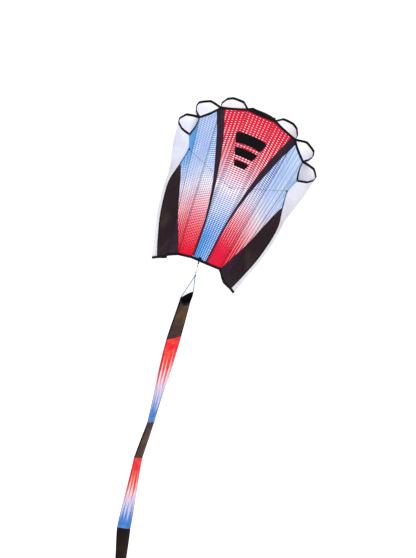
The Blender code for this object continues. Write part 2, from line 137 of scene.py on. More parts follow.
# --- how the cloth and trimmings look, in metres -------------------------------------------------
CHORD_STEPS = 200
LOWER_STEPS = 20  # across a cell's lower panel
UPPER_STEPS = 30
TAPE = 0.0092  # the side edges' folded tape, as wide as the photograph's dark line
TAPE_THICK = 0.0026
LEADING_TAPE = 0.0145
TRAILING_TAPE = 0.0135
LIP_TAPE, LIP_THICK = 0.0125, 0.0048
STIFF = 0.75  # how straight the tape holds a lip between its kinks
# where the lips kink, as shares of the arch, from the wing tip to the middle
KINKS = [(0, 0.19, 0.36, 0.47, 0.73, 1), (0, 0.17, 0.31, 0.44, 0.74, 1), (0, 0.14, 0.35, 0.49, 0.76, 1)]
# how far the wind pulls each cell's trailing edge up at its left and right seams
EDGE_PULL = [(0, -0.008), (0.007, -0.006), (-0.006, 0), (0, 0), (0, 0.010), (0.010, -0.012), (-0.012, 0)]
EDGE_PULL_REACH = 0.12
PUCKER = 0.0010  # how deep the cloth puckers along a seam
PUCKER_PITCH = 0.021
PUCKER_REACH = 0.010
FOLD = 0.0022  # of the soft folds along a panel

# the print, in flat cloth: half-widths from the sail's centre line at heights over the trailing edge
STRIPE_INNER = [(0, 0.035), (0.25, 0.054), (0.5, 0.092), (0.75, 0.147), (1, 0.225)]
STRIPE_OUTER = [(0, 0.045), (0.25, 0.065), (0.5, 0.113), (0.75, 0.187), (0.87, 0.226), (1, 0.284)]
TIP_INNER = [(0, 0.128), (0.24, 0.240), (0.45, 0.326), (0.57, 0.392), (0.68, 0.500), (0.80, 0.700)]
BARS = [(0.635, 0.674), (0.700, 0.751), (0.774, 0.839)]
BAR_NARROW = 0.034  # half the lowest bar's width at its foot
BAR_SLOPE = 0.325
BAR_BOW = 1.3
FAN = 1.25  # how far below the trailing edge the print's dot columns meet
DOT_PITCH = 0.0097  # the angle between two dot columns, in radians
DOT_ROW = 0.0056  # the dot rows open out up the sail
DOT_ROW_WEIGHT = 1.6  # of the rows against the columns, so that small dots stay apart
DOT_SOFTNESS = 0.05
SIDE_COLUMNS_LEFT, SIDE_COLUMNS_RIGHT, SIDE_ROWS = 1.5, 1.05, 1.05  # closer dots beside the middle
SHADE_SLANT = (0.13, -0.07)  # painted shade: the middle's lower end is painted bluer at the left and paler at the right
NEAR_SHADE_BLUE, NEAR_SHADE_RED = 0.08, 0.10  # painted shade: more blue and red in the panel right of the middle one, which lies in shade
SPARSE = 0.24  # less ink, where light comes through the panels further right
SPARSE_PALER = -2.5  # turns that mark, which is negative, into the share of the palest ink
RIM, HEM_RIM = 0.45, 0.75  # more ink along the side edges and on their hem
RIM_LEFT, RIM_RIGHT = 0.165, 0.070  # how far in from the side edges
SPIKES = 11.0  # of the tail's print, round the tube
SPIKE_SOFTNESS = 0.22


# --- curves and surfaces -------------------------------------------------------------------------
def clamp(share):
    return min(1, max(0, share))


def smooth(points, steps):
    """Points on a smooth curve through the given ones, with that many steps between each two."""
    known = [Vector(point) for point in points]
    padded = [2 * known[0] - known[1], *known, 2 * known[-1] - known[-2]]
    made = []
    for p0, p1, p2, p3 in zip(padded, padded[1:], padded[2:], padded[3:]):
        for step in range(steps):
            t = step / steps
            made.append(
                0.5
                * (
                    2 * p1
                    + (p2 - p0) * t
                    + (2 * p0 - 5 * p1 + 4 * p2 - p3) * t**2
                    + (3 * p1 - p0 - 3 * p2 + p3) * t**3
                )
            )
    return [*made, known[-1]]


def curve_value(points):
    """A function that reads a smooth curve given as (height, half-width) points."""
    drawn = np.array([tuple(p) for p in smooth([(a, b, 0) for a, b in points], 10)])
    return lambda height: float(np.interp(height, drawn[:, 0], drawn[:, 1]))


EDGE_CURVE = smooth(SIDE_EDGE, 24)
stripe_inner, stripe_outer, tip_inner = map(curve_value, (STRIPE_INNER, STRIPE_OUTER, TIP_INNER))


@lru_cache(maxsize=None)
def seam(number, t):
    """The point of a seam at t, from 0 at the trailing edge to 1 at the leading edge."""
    side = abs(number)
    if side == len(LEADING) + 1:
        place = t * (len(EDGE_CURVE) - 1)
        at = max(0, min(int(place), len(EDGE_CURVE) - 2))
        point = EDGE_CURVE[at].lerp(EDGE_CURVE[at + 1], place - at)
    else:
        point = Vector(TRAILING[side - 1]).lerp(Vector(LEADING[side - 1]), t)
        point.y += CAMBER * 4 * t * (1 - t)
    return Vector((point.x if number > 0 else -point.x, point.y, point.z))


@lru_cache(maxsize=None)
def outward(cell, t):
    """The way a cell's upper skin stands up from its lower panel."""
    left, right = SEAMS[cell], SEAMS[cell + 1]
    low, high = max(0.0, t - 0.05), min(1.0, t + 0.05)
    chord = seam(left, high) + seam(right, high) - seam(left, low) - seam(right, low)
    return chord.cross(seam(right, t) - seam(left, t)).normalized()


@lru_cache(maxsize=None)
def flat_seams(t):
    """How far each seam right of the middle lies from the centre line in flat cloth."""
    edges = [seam(1, t).x]
    for number in (1, 2, 3):
        edges.append(edges[-1] + (seam(number + 1, t) - seam(number, t)).length)
    return edges


def flat_x(cell, s, t):
    """A lower panel's point in flat cloth, from the centre line."""
    edges = flat_seams(t)
    if cell == MIDDLE:
        return (2 * s - 1) * edges[0]
    out = abs(cell - MIDDLE)
    share = s if cell > MIDDLE else 1 - s
    along = edges[out - 1] + (edges[out] - edges[out - 1]) * share
    return along if cell > MIDDLE else -along


def hump(x):
    """0 at 0, 1 at 1, and fading away beyond."""
    return x * exp(1 - x)


def wrinkle(cell, s, t, width, seed):
    """How far the cloth stands off its smooth shape: puckers along the seams and soft folds."""
    edge = min(s, 1 - s) * width
    number = cell if s < 0.5 else cell + 1
    shift = 2.5 * noise.noise(Vector((t * 11, number * 3.7, seed)))
    pucker = PUCKER * hump(edge / PUCKER_REACH) * sin(2 * pi * t / PUCKER_PITCH + shift)
    inside = 1 - exp(-((edge / 0.018) ** 2))
    fold = noise.noise(Vector((s * width / 0.022, t / 0.26, cell * 5.3 + seed)))
    ripple = noise.noise(Vector((s * width / 0.07 + 9, t / 0.05, cell * 2.1 + seed)))
    return pucker + inside * FOLD * (fold * (1.3 - 0.7 * t) + 0.5 * ripple)


def bridle_pull(cell, s, t):
    """Creases that run out from where the bridle holds a wing tip."""
    if cell not in (0, CELLS - 1):
        return 0
    reach = s if cell == 0 else 1 - s
    hold = BRIDLE_AT / (len(SIDE_EDGE) - 1)
    angle = atan2((t - hold) * 1.1, reach * 0.2 + 0.01)
    far = hypot((t - hold) * 1.1, reach * 0.2)
    return 0.0030 * sin(7 * angle + 0.6) * hump(far / 0.05) * min(1, reach * 6)


def lower_point(cell, s, t, wrinkled=True):
    """A point of a cell's lower panel."""
    left, right, out = seam(SEAMS[cell], t), seam(SEAMS[cell + 1], t), outward(cell, t)
    depth = BILLOW * 4 * s * (1 - s) * t
    if wrinkled:
        depth += wrinkle(cell, s, t, (right - left).length, 0.0) + bridle_pull(cell, s, t)
    return left.lerp(right, s) - depth * out + edge_pull(cell, s, t)


def cell_height(cell, t):
    full = MIDDLE_HEIGHT if cell == MIDDLE else CELL_HEIGHT
    if cell in (0, CELLS - 1):
        return TIP_END_HEIGHT + (full - TIP_END_HEIGHT) * t + TIP_FULLNESS * 4 * t * (1 - t)
    return END_HEIGHT + (full - END_HEIGHT) * t


def slack(number, t):
    """How far the bridle and the air pull a tip's edge off the straight line between its ends."""
    if abs(number) <= len(LEADING):
        return Vector((0, 0, 0))
    return seam(number, t) - seam(number, 0).lerp(seam(number, 1), t)


def upper_normal(cell, s, t):
    """The way an upper skin faces."""
    across = (seam(SEAMS[cell + 1], t) - seam(SEAMS[cell], t)).normalized()
    return (sin(pi * s) * outward(cell, t) - cos(pi * s) * across).normalized()


def arch_at(cell, s, t):
    """How far across a cell and how high in its arch a point is.

    Near the lip it runs straight from kink to kink.
    """
    share, arch = (1 - cos(pi * s)) / 2, sin(pi * s)
    stiff = STIFF * max(0, (t - 0.80) / 0.20) ** 2
    if stiff and cell != MIDDLE:
        kinks = KINKS[min(cell, CELLS - 1 - cell)]
        if cell > MIDDLE:
            kinks = [1 - kink for kink in reversed(kinks)]
        share += stiff * (float(np.interp(s, kinks, [(1 - cos(pi * k)) / 2 for k in kinks])) - share)
        arch += stiff * (float(np.interp(s, kinks, [sin(pi * k) for k in kinks])) - arch)
    return share, arch


def tip_fold(cell, s, t):
    """How far a point of an outermost upper skin lies out past its arch, pressed flat by the wind."""
    if cell not in (0, CELLS - 1):
        return Vector((0, 0, 0))
    inner, edge, out = (SEAMS[1], SEAMS[0], 1 - s) if cell == 0 else (SEAMS[-2], SEAMS[-1], s)
    away = (seam(edge, t) - seam(inner, t)).normalized()
    return TIP_REACH * (1 - t) ** 2 * sin(pi * s) * (1 - cos(pi * out)) / 2 * away


def edge_pull(cell, s, t):
    """How far a point near the trailing edge is pulled out of line with its neighbours, along the seams."""
    left, right = (
        pull * (seam(number, 0.1) - seam(number, 0)).normalized()
        for number, pull in zip(SEAMS[cell : cell + 2], EDGE_PULL[cell])
    )
    return max(0, 1 - t / EDGE_PULL_REACH) ** 2 * left.lerp(right, clamp(s))


def upper_point(cell, s, t, wrinkled=True):
    """A point of a cell's upper skin, an arch from seam to seam; t = 1 is the lip."""
    share, arch = arch_at(cell, s, t)
    ahead = 0 if cell == MIDDLE else LIP_FORWARD * arch * t**4
    left, right = seam(SEAMS[cell], t), seam(SEAMS[cell + 1], t)
    # the top of an outermost cell runs straight, whatever its edge does
    taut = arch**2 * (share * slack(SEAMS[cell + 1], t) + (1 - share) * slack(SEAMS[cell], t))
    forward = (seam(SEAMS[cell], 1) - seam(SEAMS[cell], 0)).normalized()
    point = left.lerp(right, share) - taut + cell_height(cell, t) * arch * outward(cell, t) + ahead * forward
    point += tip_fold(cell, s, t) + edge_pull(cell, share, t)
    if wrinkled:
        depth = wrinkle(cell, s, t, (right - left).length * 1.4, 31.0)
        point += min(1, 12 * t) * depth * upper_normal(cell, s, t)
    return point


def ring_at(place):
    """The tail at place, in rings from the mouth: its middle, the way to its right edge, and its front."""
    first = max(0, min(int(place), len(TAIL_RINGS) - 2))
    share = place - first
    (low, low_way), (high, high_way) = TAIL_RINGS[first : first + 2]
    middle = Vector(low).lerp(Vector(high), share)
    ease = share * share * (3 - 2 * share)
    across = Vector(low_way).lerp(Vector(high_way), ease).normalized()
    return middle, across, across.cross(Vector((0, 0, 1))).normalized()


def tail_point(section, s, t):
    """A point of a tail section: s goes round it and t down it."""
    middle, across, front = ring_at(section + t)
    bulge = JOIN_DEPTH + (TAIL_DEPTH - JOIN_DEPTH) * sin(pi * t)
    angle = 2 * pi * s
    dip = 0
    if section == 0:
        opening = max(0, 1 - 3 * t)
        bulge += (MOUTH_DEPTH - JOIN_DEPTH) * opening**2
        dip = MOUTH_DIP * max(0, sin(angle)) ** 2 * opening
    flat = TAIL_WIDTH / 2 * (TAIL_FULLNESS - 0.3 * (bulge / TAIL_WIDTH) ** 2)
    x, y = flat * cos(angle), bulge / 2 * sin(angle) * abs(sin(angle)) ** 0.4
    if section == 0:
        # the mouth's far side is drawn straight between its two lines
        y *= 1 + 0.45 * max(0, 1 - 3 * t) * (1 if y > 0 else -1.3)
    along = middle.z / 0.11
    fold = noise.noise(Vector((x / 0.016, along, 1 if y > 0 else 5)))
    cross = noise.noise(Vector((x / 0.05, along * 3.4 + x / 0.03, 11.0)))
    y += abs(sin(angle)) * (0.0030 * fold + 0.0022 * cross) * (1 if section or t > 0.05 else t / 0.05)
    return middle + x * across + y * front - Vector((0, 0, dip))


# --- meshes --------------------------------------------------------------------------------------
def new_piece(name, mesh, finish, matrix, body=None):
    """A piece for a mesh whose points are given in matrix's axes; it rides on body if one is named."""
    mesh.transform(matrix)
    mesh.shade_smooth()
    mesh.materials.append(finish)
    piece = bpy.data.objects.new(name, mesh)
    bpy.context.scene.collection.objects.link(piece)
    if body:
        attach(piece, body)
    return piece


def grid_mesh(name, place, across, along, uv, marks=None, closed=False):
    """A sheet: place(s, t) gives its points and uv(s, t) their flat place. marks are values for shading."""
    points = [place(i / across, j / along) for j in range(along + 1) for i in range(across + 1)]
    row = across + 1
    faces = [
        (j * row + i, j * row + i + 1, (j + 1) * row + i + 1, (j + 1) * row + i)
        for j in range(along)
        for i in range(across)
    ]
    mesh = bpy.data.meshes.new(name)
    mesh.from_pydata(points, [], faces)
    flat = [uv(i / across, j / along) for j in range(along + 1) for i in range(across + 1)]
    layer = mesh.uv_layers.new(name="cloth")
    for loop in mesh.loops:
        layer.data[loop.index].uv = flat[loop.vertex_index]
    for label, value in (marks or {}).items():
        mark = mesh.attributes.new(label, "FLOAT", "POINT")
        shares = [(i / across, j / along) for j in range(along + 1) for i in range(across + 1)]
        mark.data.foreach_set("value", [value(s, t) for s, t in shares])
    if closed:
        bm = bmesh.new()
        bm.from_mesh(mesh)
        bmesh.ops.remove_doubles(bm, verts=bm.verts, dist=0.000001)
        bm.to_mesh(mesh)
        bm.free()
    return mesh


def sweep_mesh(name, path, sides, ups, section, closed=False):
    """section, as (side, up) points, swept along the path; UV is (along the path, the section's side)."""
    count, ring = len(path), len(section)
    points = [
        point + a * side + b * up
        for point, side, up in zip(path, sides, ups)
        for a, b in section
    ]
    faces = []
    for j in range(count if closed else count - 1):
        for i in range(ring):
            low, high = j * ring, (j + 1) % count * ring
            faces.append((low + i, low + (i + 1) % ring, high + (i + 1) % ring, high + i))
    if not closed:
        faces += [tuple(reversed(range(ring))), tuple((count - 1) * ring + i for i in range(ring))]
    mesh = bpy.data.meshes.new(name)
    mesh.from_pydata(points, [], faces)
    run = [0.0]
    for first, second in zip(path, path[1:]):
        run.append(run[-1] + (second - first).length)
    layer = mesh.uv_layers.new(name="cloth")
    for loop in mesh.loops:
        at, corner = divmod(loop.vertex_index, ring)
        layer.data[loop.index].uv = (run[at], section[corner][0])
    bm = bmesh.new()
    bm.from_mesh(mesh)
    bmesh.ops.recalc_face_normals(bm, faces=bm.faces)
    bm.to_mesh(mesh)
    bm.free()
    return mesh


def tape_section(width, thick=TAPE_THICK):
    """A folded tape's outline: the fold lies outside the cloth's edge and the two leaves on the cloth."""
    h = thick / 2
    fold = [(-h * sin(a), -h * cos(a)) for a in (pi / 8 * i for i in range(1, 8))]
    inner = [(width, -0.7 * h), (width - 0.0006, -h)]
    return [*inner, (0, -h), *fold, (0, h), *[(x, -y) for x, y in reversed(inner)]]


def tape(name, path, sides, ups, finish, matrix, body=None, width=TAPE, thick=TAPE_THICK, closed=False):
    """A folded edge tape along a cloth's edge. sides point into the cloth."""
    loose = [
        point + 0.0004 * noise.noise(Vector(point) / 0.012) * up for point, up in zip(path, ups)
    ]
    mesh = sweep_mesh(name, loose, sides, ups, tape_section(width, thick), closed)
    return new_piece(name, mesh, finish, matrix, body)


def round_section(radius, sides=12):
    return [(radius * cos(2 * pi * i / sides), radius * sin(2 * pi * i / sides)) for i in range(sides)]


def upright_frames(path, closed=False):
    """For each point of a path, two directions across it that don't twist."""
    count = len(path)
    ways = []
    for i in range(count):
        before = path[i - 1] if i or closed else path[0]
        after = path[(i + 1) % count] if i < count - 1 or closed else path[-1]
        ways.append((after - before).normalized())
    start = ways[0].orthogonal().normalized()
    sides = [start]
    for way in ways[1:]:
        sides.append((sides[-1] - sides[-1].dot(way) * way).normalized())
    return sides, [way.cross(side) for way, side in zip(ways, sides)]


def line(name, points, radius, finish, matrix, body, closed=False, steps=4, sides=12):
    """A round line or wire on a smooth curve through the points."""
    path = points if closed else smooth(points, steps)
    across, up = upright_frames(path, closed)
    mesh = sweep_mesh(name, path, across, up, round_section(radius, sides), closed)
    return new_piece(name, mesh, finish, matrix, body)


def refined(node, finish, levels=2):
    """A finer copy of a CAD node, rounded by subdivision."""
    body = frame["nodes"][node]["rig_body"]
    piece = new_piece(f"{node}_fine", frame["nodes"][node].data.copy(), finish, Matrix.Identity(4), body)
    piece.data.materials.clear()
    piece.data.materials.append(finish)
    weld = piece.modifiers.new("weld", "WELD")
    weld.merge_threshold = 0.00001
    rounding = piece.modifiers.new("round", "SUBSURF")
    rounding.levels = levels
    rounding.render_levels = levels
    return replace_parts(piece, node)


def cut_size(place, across=24, along=24):
    """The flat width, length and area of the cloth that place(s, t) lays out."""
    grid = [[place(i / across, j / along) for i in range(across + 1)] for j in range(along + 1)]
    width = max(sum((b - a).length for a, b in zip(row, row[1:])) for row in grid)
    columns = list(zip(*grid))
    length = max(sum((b - a).length for a, b in zip(column, column[1:])) for column in columns)
    area = 0
    for low, high in zip(grid, grid[1:]):
        for i in range(across):
            area += (low[i + 1] - low[i]).cross(high[i] - low[i]).length / 2
            area += (low[i + 1] - high[i + 1]).cross(high[i] - high[i + 1]).length / 2
    return width, length, min(area, width * length)


def declare_sheet(piece, place):
    width, length, area = cut_size(place)
    return piece


# --- materials -----------------------------------------------------------------------------------
def srgb(red, green, blue):
    """A colour given in 0 to 255, as the shaders take it."""
    shares = [value / 255 for value in (red, green, blue)]
    return (*[c / 12.92 if c <= 0.04045 else ((c + 0.055) / 1.055) ** 2.4 for c in shares], 1.0)


class Finish:
    """A material's nodes, with short calls to make them."""

    def __init__(self, name, roughness, metallic=0.0):
        self.made = bpy.data.materials.new(f"{name}_look")
        self.made["slot"] = name
        self.made.use_nodes = True
        self.tree = self.made.node_tree
        self.shader = self.tree.nodes["Principled BSDF"]
        self.shader.inputs["Roughness"].default_value = roughness
        self.shader.inputs["Metallic"].default_value = metallic
        self.shader.inputs["Specular IOR Level"].default_value = 0.5 if metallic else 0.08

    def feed(self, socket, value):
        if isinstance(value, bpy.types.NodeSocket):
            self.tree.links.new(value, socket)
        else:
            socket.default_value = value

    def math(self, operation, *values):
        node = self.tree.nodes.new("ShaderNodeMath")
        node.operation = operation
        for socket, value in zip(node.inputs, values):
            self.feed(socket, value)
        return node.outputs[0]

    def mix(self, factor, first, second):
        node = self.tree.nodes.new("ShaderNodeMix")
        node.data_type = "RGBA"
        for socket, value in zip((node.inputs[0], node.inputs[6], node.inputs[7]), (factor, first, second)):
            self.feed(socket, value)
        return node.outputs[2]

    def ramp(self, value, low, high, start=0.0, end=1.0):
        """From start to end, smoothly, as value goes from low to high."""
        node = self.tree.nodes.new("ShaderNodeMapRange")
        node.interpolation_type = "SMOOTHSTEP"
        for socket, given in zip(node.inputs, (value, low, high, start, end)):
            self.feed(socket, given)
        return node.outputs[0]

    def levels(self, value, points):
        """A curve of straight runs through (value, level) points."""
        node = self.tree.nodes.new("ShaderNodeValToRGB")
        elements = node.color_ramp.elements
        elements[0].position, elements[1].position = points[0][0], points[-1][0]
        for element, (_, level) in zip(elements, (points[0], points[-1])):
            element.color = (level, level, level, 1)
        for place, level in points[1:-1]:
            elements.new(place).color = (level, level, level, 1)
        self.feed(node.inputs[0], value)
        return node.outputs[0]

    def mark(self, name):
        node = self.tree.nodes.new("ShaderNodeAttribute")
        node.attribute_name = name
        return node.outputs["Fac"]

    def split(self, vector):
        node = self.tree.nodes.new("ShaderNodeSeparateXYZ")
        self.tree.links.new(vector, node.inputs[0])
        return tuple(node.outputs)

    def flat(self):
        """The cloth's flat place, in metres, as two sockets."""
        node = self.tree.nodes.new("ShaderNodeUVMap")
        node.uv_map = "cloth"
        return self.split(node.outputs[0])[:2]

    def object_place(self):
        """The place in the object's own axes, as three sockets."""
        return self.split(self.tree.nodes.new("ShaderNodeTexCoord").outputs["Object"])

    def spots(self, x, y, scale, detail=2.0):
        """Soft noise over x and y."""
        join = self.tree.nodes.new("ShaderNodeCombineXYZ")
        self.feed(join.inputs[0], x)
        self.feed(join.inputs[1], y)
        node = self.tree.nodes.new("ShaderNodeTexNoise")
        node.inputs["Scale"].default_value = scale
        node.inputs["Detail"].default_value = detail
        self.tree.links.new(join.outputs[0], node.inputs["Vector"])
        return node.outputs["Fac"]

    def wave(self, value, pitch):
        """A cosine of that pitch."""
        return self.math("COSINE", self.math("MULTIPLY", value, 2 * pi / pitch))

    def colour(self, value):
        self.feed(self.shader.inputs["Base Color"], value)

    def bump(self, height, distance, strength=0.5):
        node = self.tree.nodes.new("ShaderNodeBump")
        node.inputs["Strength"].default_value = strength
        node.inputs["Distance"].default_value = distance
        self.tree.links.new(height, node.inputs["Height"])
        self.tree.links.new(node.outputs[0], self.shader.inputs["Normal"])

    def ripstop(self, x, y, pitch=0.005):
        """1 on the thicker threads of the ripstop grid and 0 between them."""
        return self.math(
            "MAXIMUM",
            self.ramp(self.wave(x, pitch), 0.86, 0.97),
            self.ramp(self.wave(y, pitch), 0.86, 0.97),
        )

    def weave(self, x, y, pitch=0.0010):
        return self.math("MULTIPLY", self.wave(x, pitch), self.wave(y, pitch))

    def stitches(self, across, along, place, pitch=0.0036, thread=0.0004):
        """1 on a row of stitches that runs at place, and 0 off it."""
        away = self.math("ABSOLUTE", self.math("SUBTRACT", across, place))
        near = self.ramp(away, thread, thread * 1.5, 1.0, 0.0)
        return self.math("MULTIPLY", near, self.ramp(self.wave(along, pitch), -0.45, -0.25))

    def see_light(self, share, colour):
        """Lets that share of the light behind the cloth through, in that colour."""
        behind = self.tree.nodes.new("ShaderNodeBsdfTranslucent")
        self.feed(behind.inputs["Color"], colour)
        both = self.tree.nodes.new("ShaderNodeMixShader")
        both.inputs[0].default_value = share
        self.tree.links.new(self.shader.outputs[0], both.inputs[1])
        self.tree.links.new(behind.outputs[0], both.inputs[2])
        self.tree.links.new(both.outputs[0], self.tree.nodes["Material Output"].inputs[0])

    def sheen(self, weight):
        self.shader.inputs["Sheen Weight"].default_value = weight
        self.shader.inputs["Sheen Roughness"].default_value = 0.4


INK_RED = srgb(222, 10, 44)
INK_BLUE = srgb(44, 132, 204)
INK_PALE_BLUE = srgb(88, 168, 236)
INK_PALEST_BLUE = srgb(168, 212, 250)
INK_BOTH = srgb(120, 74, 140)
PAPER = srgb(247, 244, 248)
BLACK_CLOTH = srgb(46, 32, 46)

# the share of the cloth that each ink covers, at heights over the trailing edge
MIDDLE_RED = [(0.36, 0), (0.47, 0.25), (0.565, 0.44), (0.66, 0.62), (0.80, 0.76), (0.94, 0.86), (1, 0.90)]
MIDDLE_BLUE = [(0, 0.78), (0.16, 0.78), (0.25, 0.68), (0.345, 0.50), (0.47, 0.32), (0.60, 0.16), (0.72, 0)]
SIDE_RED = [(0, 1.05), (0.06, 0.97), (0.16, 0.87), (0.25, 0.70), (0.345, 0.50), (0.44, 0.33), (0.60, 0)]
SIDE_BLUE = [(0.36, 0), (0.44, 0.18), (0.53, 0.34), (0.63, 0.47), (0.72, 0.53), (1, 0.54)]


def dots(finish, place, cover):
    """Halftone dots in columns that fan out from below the sail: 1 on ink. cover is the ink's share."""
    rows, columns = (finish.wave(finish.mark(f"{place}_{way}"), 1.0) for way in ("row", "column"))
    both = finish.math("MULTIPLY_ADD", rows, DOT_ROW_WEIGHT, columns)
    spot = finish.math("MULTIPLY_ADD", both, 0.5 / (1 + DOT_ROW_WEIGHT), 0.5)
    low = finish.math("SUBTRACT", cover, DOT_SOFTNESS)
    return finish.ramp(finish.math("SUBTRACT", spot, low), 0.0, 2 * DOT_SOFTNESS, 1.0, 0.0)


def printed_cloth():
    """Ripstop with the sail's print: dotted fades from red to blue, black stripes, tips and bars."""
    finish = Finish("printed_cloth", 0.52)
    x, z = finish.flat()
    stripe, side, tip, edge = map(finish.mark, ("stripe", "side", "tip", "edge"))

    middle_red = dots(finish, "middle", finish.levels(z, MIDDLE_RED))
    # painted shade: at the middle's lower end the left half is painted darker and the right half lighter
    lower_end = finish.ramp(z, 0.12, 0.26, 1.0, 0.0)
    shade_slant = finish.math("MULTIPLY", finish.ramp(x, -0.03, 0.03, *SHADE_SLANT), lower_end)
    middle_blue = dots(finish, "middle", finish.math("ADD", finish.levels(z, MIDDLE_BLUE), shade_slant))
    # painted shade: the panel right of the middle one, marked near, gets more blue and red ink for the shade
    # it lies in
    near = finish.mark("near")
    sparse = finish.mark("sparse")
    shading_and_rim = finish.math("MAXIMUM", finish.math("MULTIPLY_ADD", near, NEAR_SHADE_BLUE, sparse), finish.mark("rim"))
    side_blue = dots(finish, "side", finish.math("ADD", finish.levels(z, SIDE_BLUE), shading_and_rim))
    side_red = dots(finish, "side", finish.math("MULTIPLY_ADD", near, NEAR_SHADE_RED, finish.levels(z, SIDE_RED)))
    on_side = finish.ramp(side, -0.0005, 0.0005)
    red = finish.mix(on_side, middle_red, side_red)
    blue = finish.mix(on_side, middle_blue, side_blue)
    shade = finish.ramp(finish.spots(x, z, 9.0), 0.3, 0.7)
    paper = finish.mix(shade, PAPER, srgb(226, 223, 238))
    backlit = finish.math("MULTIPLY", on_side, finish.math("SUBTRACT", 1.0, near))
    blue_ink = finish.mix(backlit, INK_BLUE, INK_PALE_BLUE)
    blue_ink = finish.mix(finish.math("MULTIPLY", sparse, SPARSE_PALER), blue_ink, INK_PALEST_BLUE)
    ink = finish.mix(blue, finish.mix(red, paper, INK_RED), blue_ink)
    ink = finish.mix(finish.math("MULTIPLY", red, blue), ink, INK_BOTH)

    half = finish.math("MULTIPLY_ADD", finish.math("SUBTRACT", z, BARS[0][0]), BAR_SLOPE, BAR_NARROW)
    inside = finish.ramp(finish.math("SUBTRACT", half, finish.math("ABSOLUTE", x)), -0.0004, 0.0004)
    black = finish.math("MAXIMUM", finish.ramp(stripe, -0.0005, 0.0005), finish.ramp(tip, -0.0005, 0.0005))
    # the bars' upper and lower edges bow up in the middle
    bow = finish.math("SUBTRACT", finish.math("MULTIPLY", x, x), finish.math("MULTIPLY", half, half))
    level = finish.math("MULTIPLY_ADD", bow, BAR_BOW, z)
    across_bars = [
        finish.math(
            "MULTIPLY",
            finish.ramp(level, low - 0.0004, low + 0.0004),
            finish.ramp(level, high - 0.0004, high + 0.0004, 1.0, 0.0),
        )
        for low, high in BARS
    ]
    bars = finish.math("MULTIPLY", inside, reduce(lambda a, b: finish.math("MAXIMUM", a, b), across_bars))
    # painted shade and light: the outer cells' black is painted darker and browner, and brown blotches stand
    # for light coming through the black cloth
    patch = finish.mix(finish.mark("outer"), BLACK_CLOTH, srgb(38, 27, 30))
    patch = finish.mix(finish.ramp(finish.spots(x, z, 6.0), 0.50, 0.75), patch, srgb(60, 47, 43))
    cloth = finish.mix(bars, finish.mix(black, ink, patch), srgb(6, 5, 6))

    threads = finish.ripstop(x, z)
    cloth = finish.mix(finish.math("MULTIPLY", threads, 0.10), cloth, srgb(70, 60, 80))
    # painted shade: the cloth darkens towards each seam, where it folds
    fold = finish.ramp(edge, 0.0008, 0.0050, 0.50, 0.0)
    cloth = finish.mix(fold, cloth, srgb(20, 12, 22))
    thread = finish.stitches(edge, z, 0.0042)
    cloth = finish.mix(finish.math("MULTIPLY", thread, 0.7), cloth, srgb(60, 52, 66))
    finish.colour(cloth)
    fine = finish.math("MULTIPLY_ADD", finish.weave(x, z), 0.25, threads)
    finish.bump(finish.math("ADD", fine, finish.math("MULTIPLY", thread, 2.0)), 0.00015, 0.6)
    finish.see_light(0.22, cloth)
    finish.sheen(0.04)
    return finish.made


def white_cloth():
    """Thin white ripstop, bright against the light."""
    finish = Finish("white_cloth", 0.50)
    x, z = finish.flat()
    edge = finish.mark("edge")
    shade = finish.ramp(finish.spots(x, z, 8.0), 0.3, 0.7)
    cloth = finish.mix(shade, srgb(244, 243, 245), srgb(230, 228, 235))
    threads = finish.ripstop(x, z)
    cloth = finish.mix(finish.math("MULTIPLY", threads, 0.22), cloth, srgb(196, 196, 214))
    # painted shade: the cloth darkens towards each seam, where it folds
    fold = finish.ramp(edge, 0.0006, 0.0028, 0.5, 0.0)
    cloth = finish.mix(fold, cloth, srgb(170, 168, 188))
    thread = finish.stitches(edge, z, 0.0042)
    cloth = finish.mix(finish.math("MULTIPLY", thread, 0.8), cloth, srgb(190, 190, 205))
    finish.colour(cloth)
    fine = finish.math("MULTIPLY_ADD", finish.weave(x, z), 0.25, threads)
    finish.bump(finish.math("ADD", fine, finish.math("MULTIPLY", thread, 2.0)), 0.00015, 0.6)
    finish.see_light(0.45, cloth)
    finish.sheen(0.05)
    return finish.made


def dark_cloth():
    """Thin black ripstop that looks brown where light comes through, darker at its folds."""
    finish = Finish("dark_cloth", 0.55)
    x, z = finish.flat()
    patch = finish.ramp(finish.spots(x, z, 9.0), 0.40, 0.64)
    cloth = finish.mix(patch, srgb(74, 52, 52), srgb(112, 82, 52))
    grain = finish.ramp(finish.spots(x, z, 120.0), 0.35, 0.65)
    cloth = finish.mix(finish.math("MULTIPLY", grain, 0.22), cloth, srgb(50, 36, 34))
    threads = finish.ripstop(x, z)
    cloth = finish.mix(finish.math("MULTIPLY", threads, 0.30), cloth, srgb(40, 30, 28))
    # painted shade: near black inside the tail's mouth and at its pressed edges; the last section is made
    # near black too
    cloth = finish.mix(finish.mark("darkened"), cloth, srgb(13, 9, 10))
    finish.colour(cloth)
    finish.bump(finish.math("MULTIPLY_ADD", finish.weave(x, z), 0.25, threads), 0.00015, 0.6)
    finish.see_light(0.25, cloth)
    finish.sheen(0.05)
    return finish.made


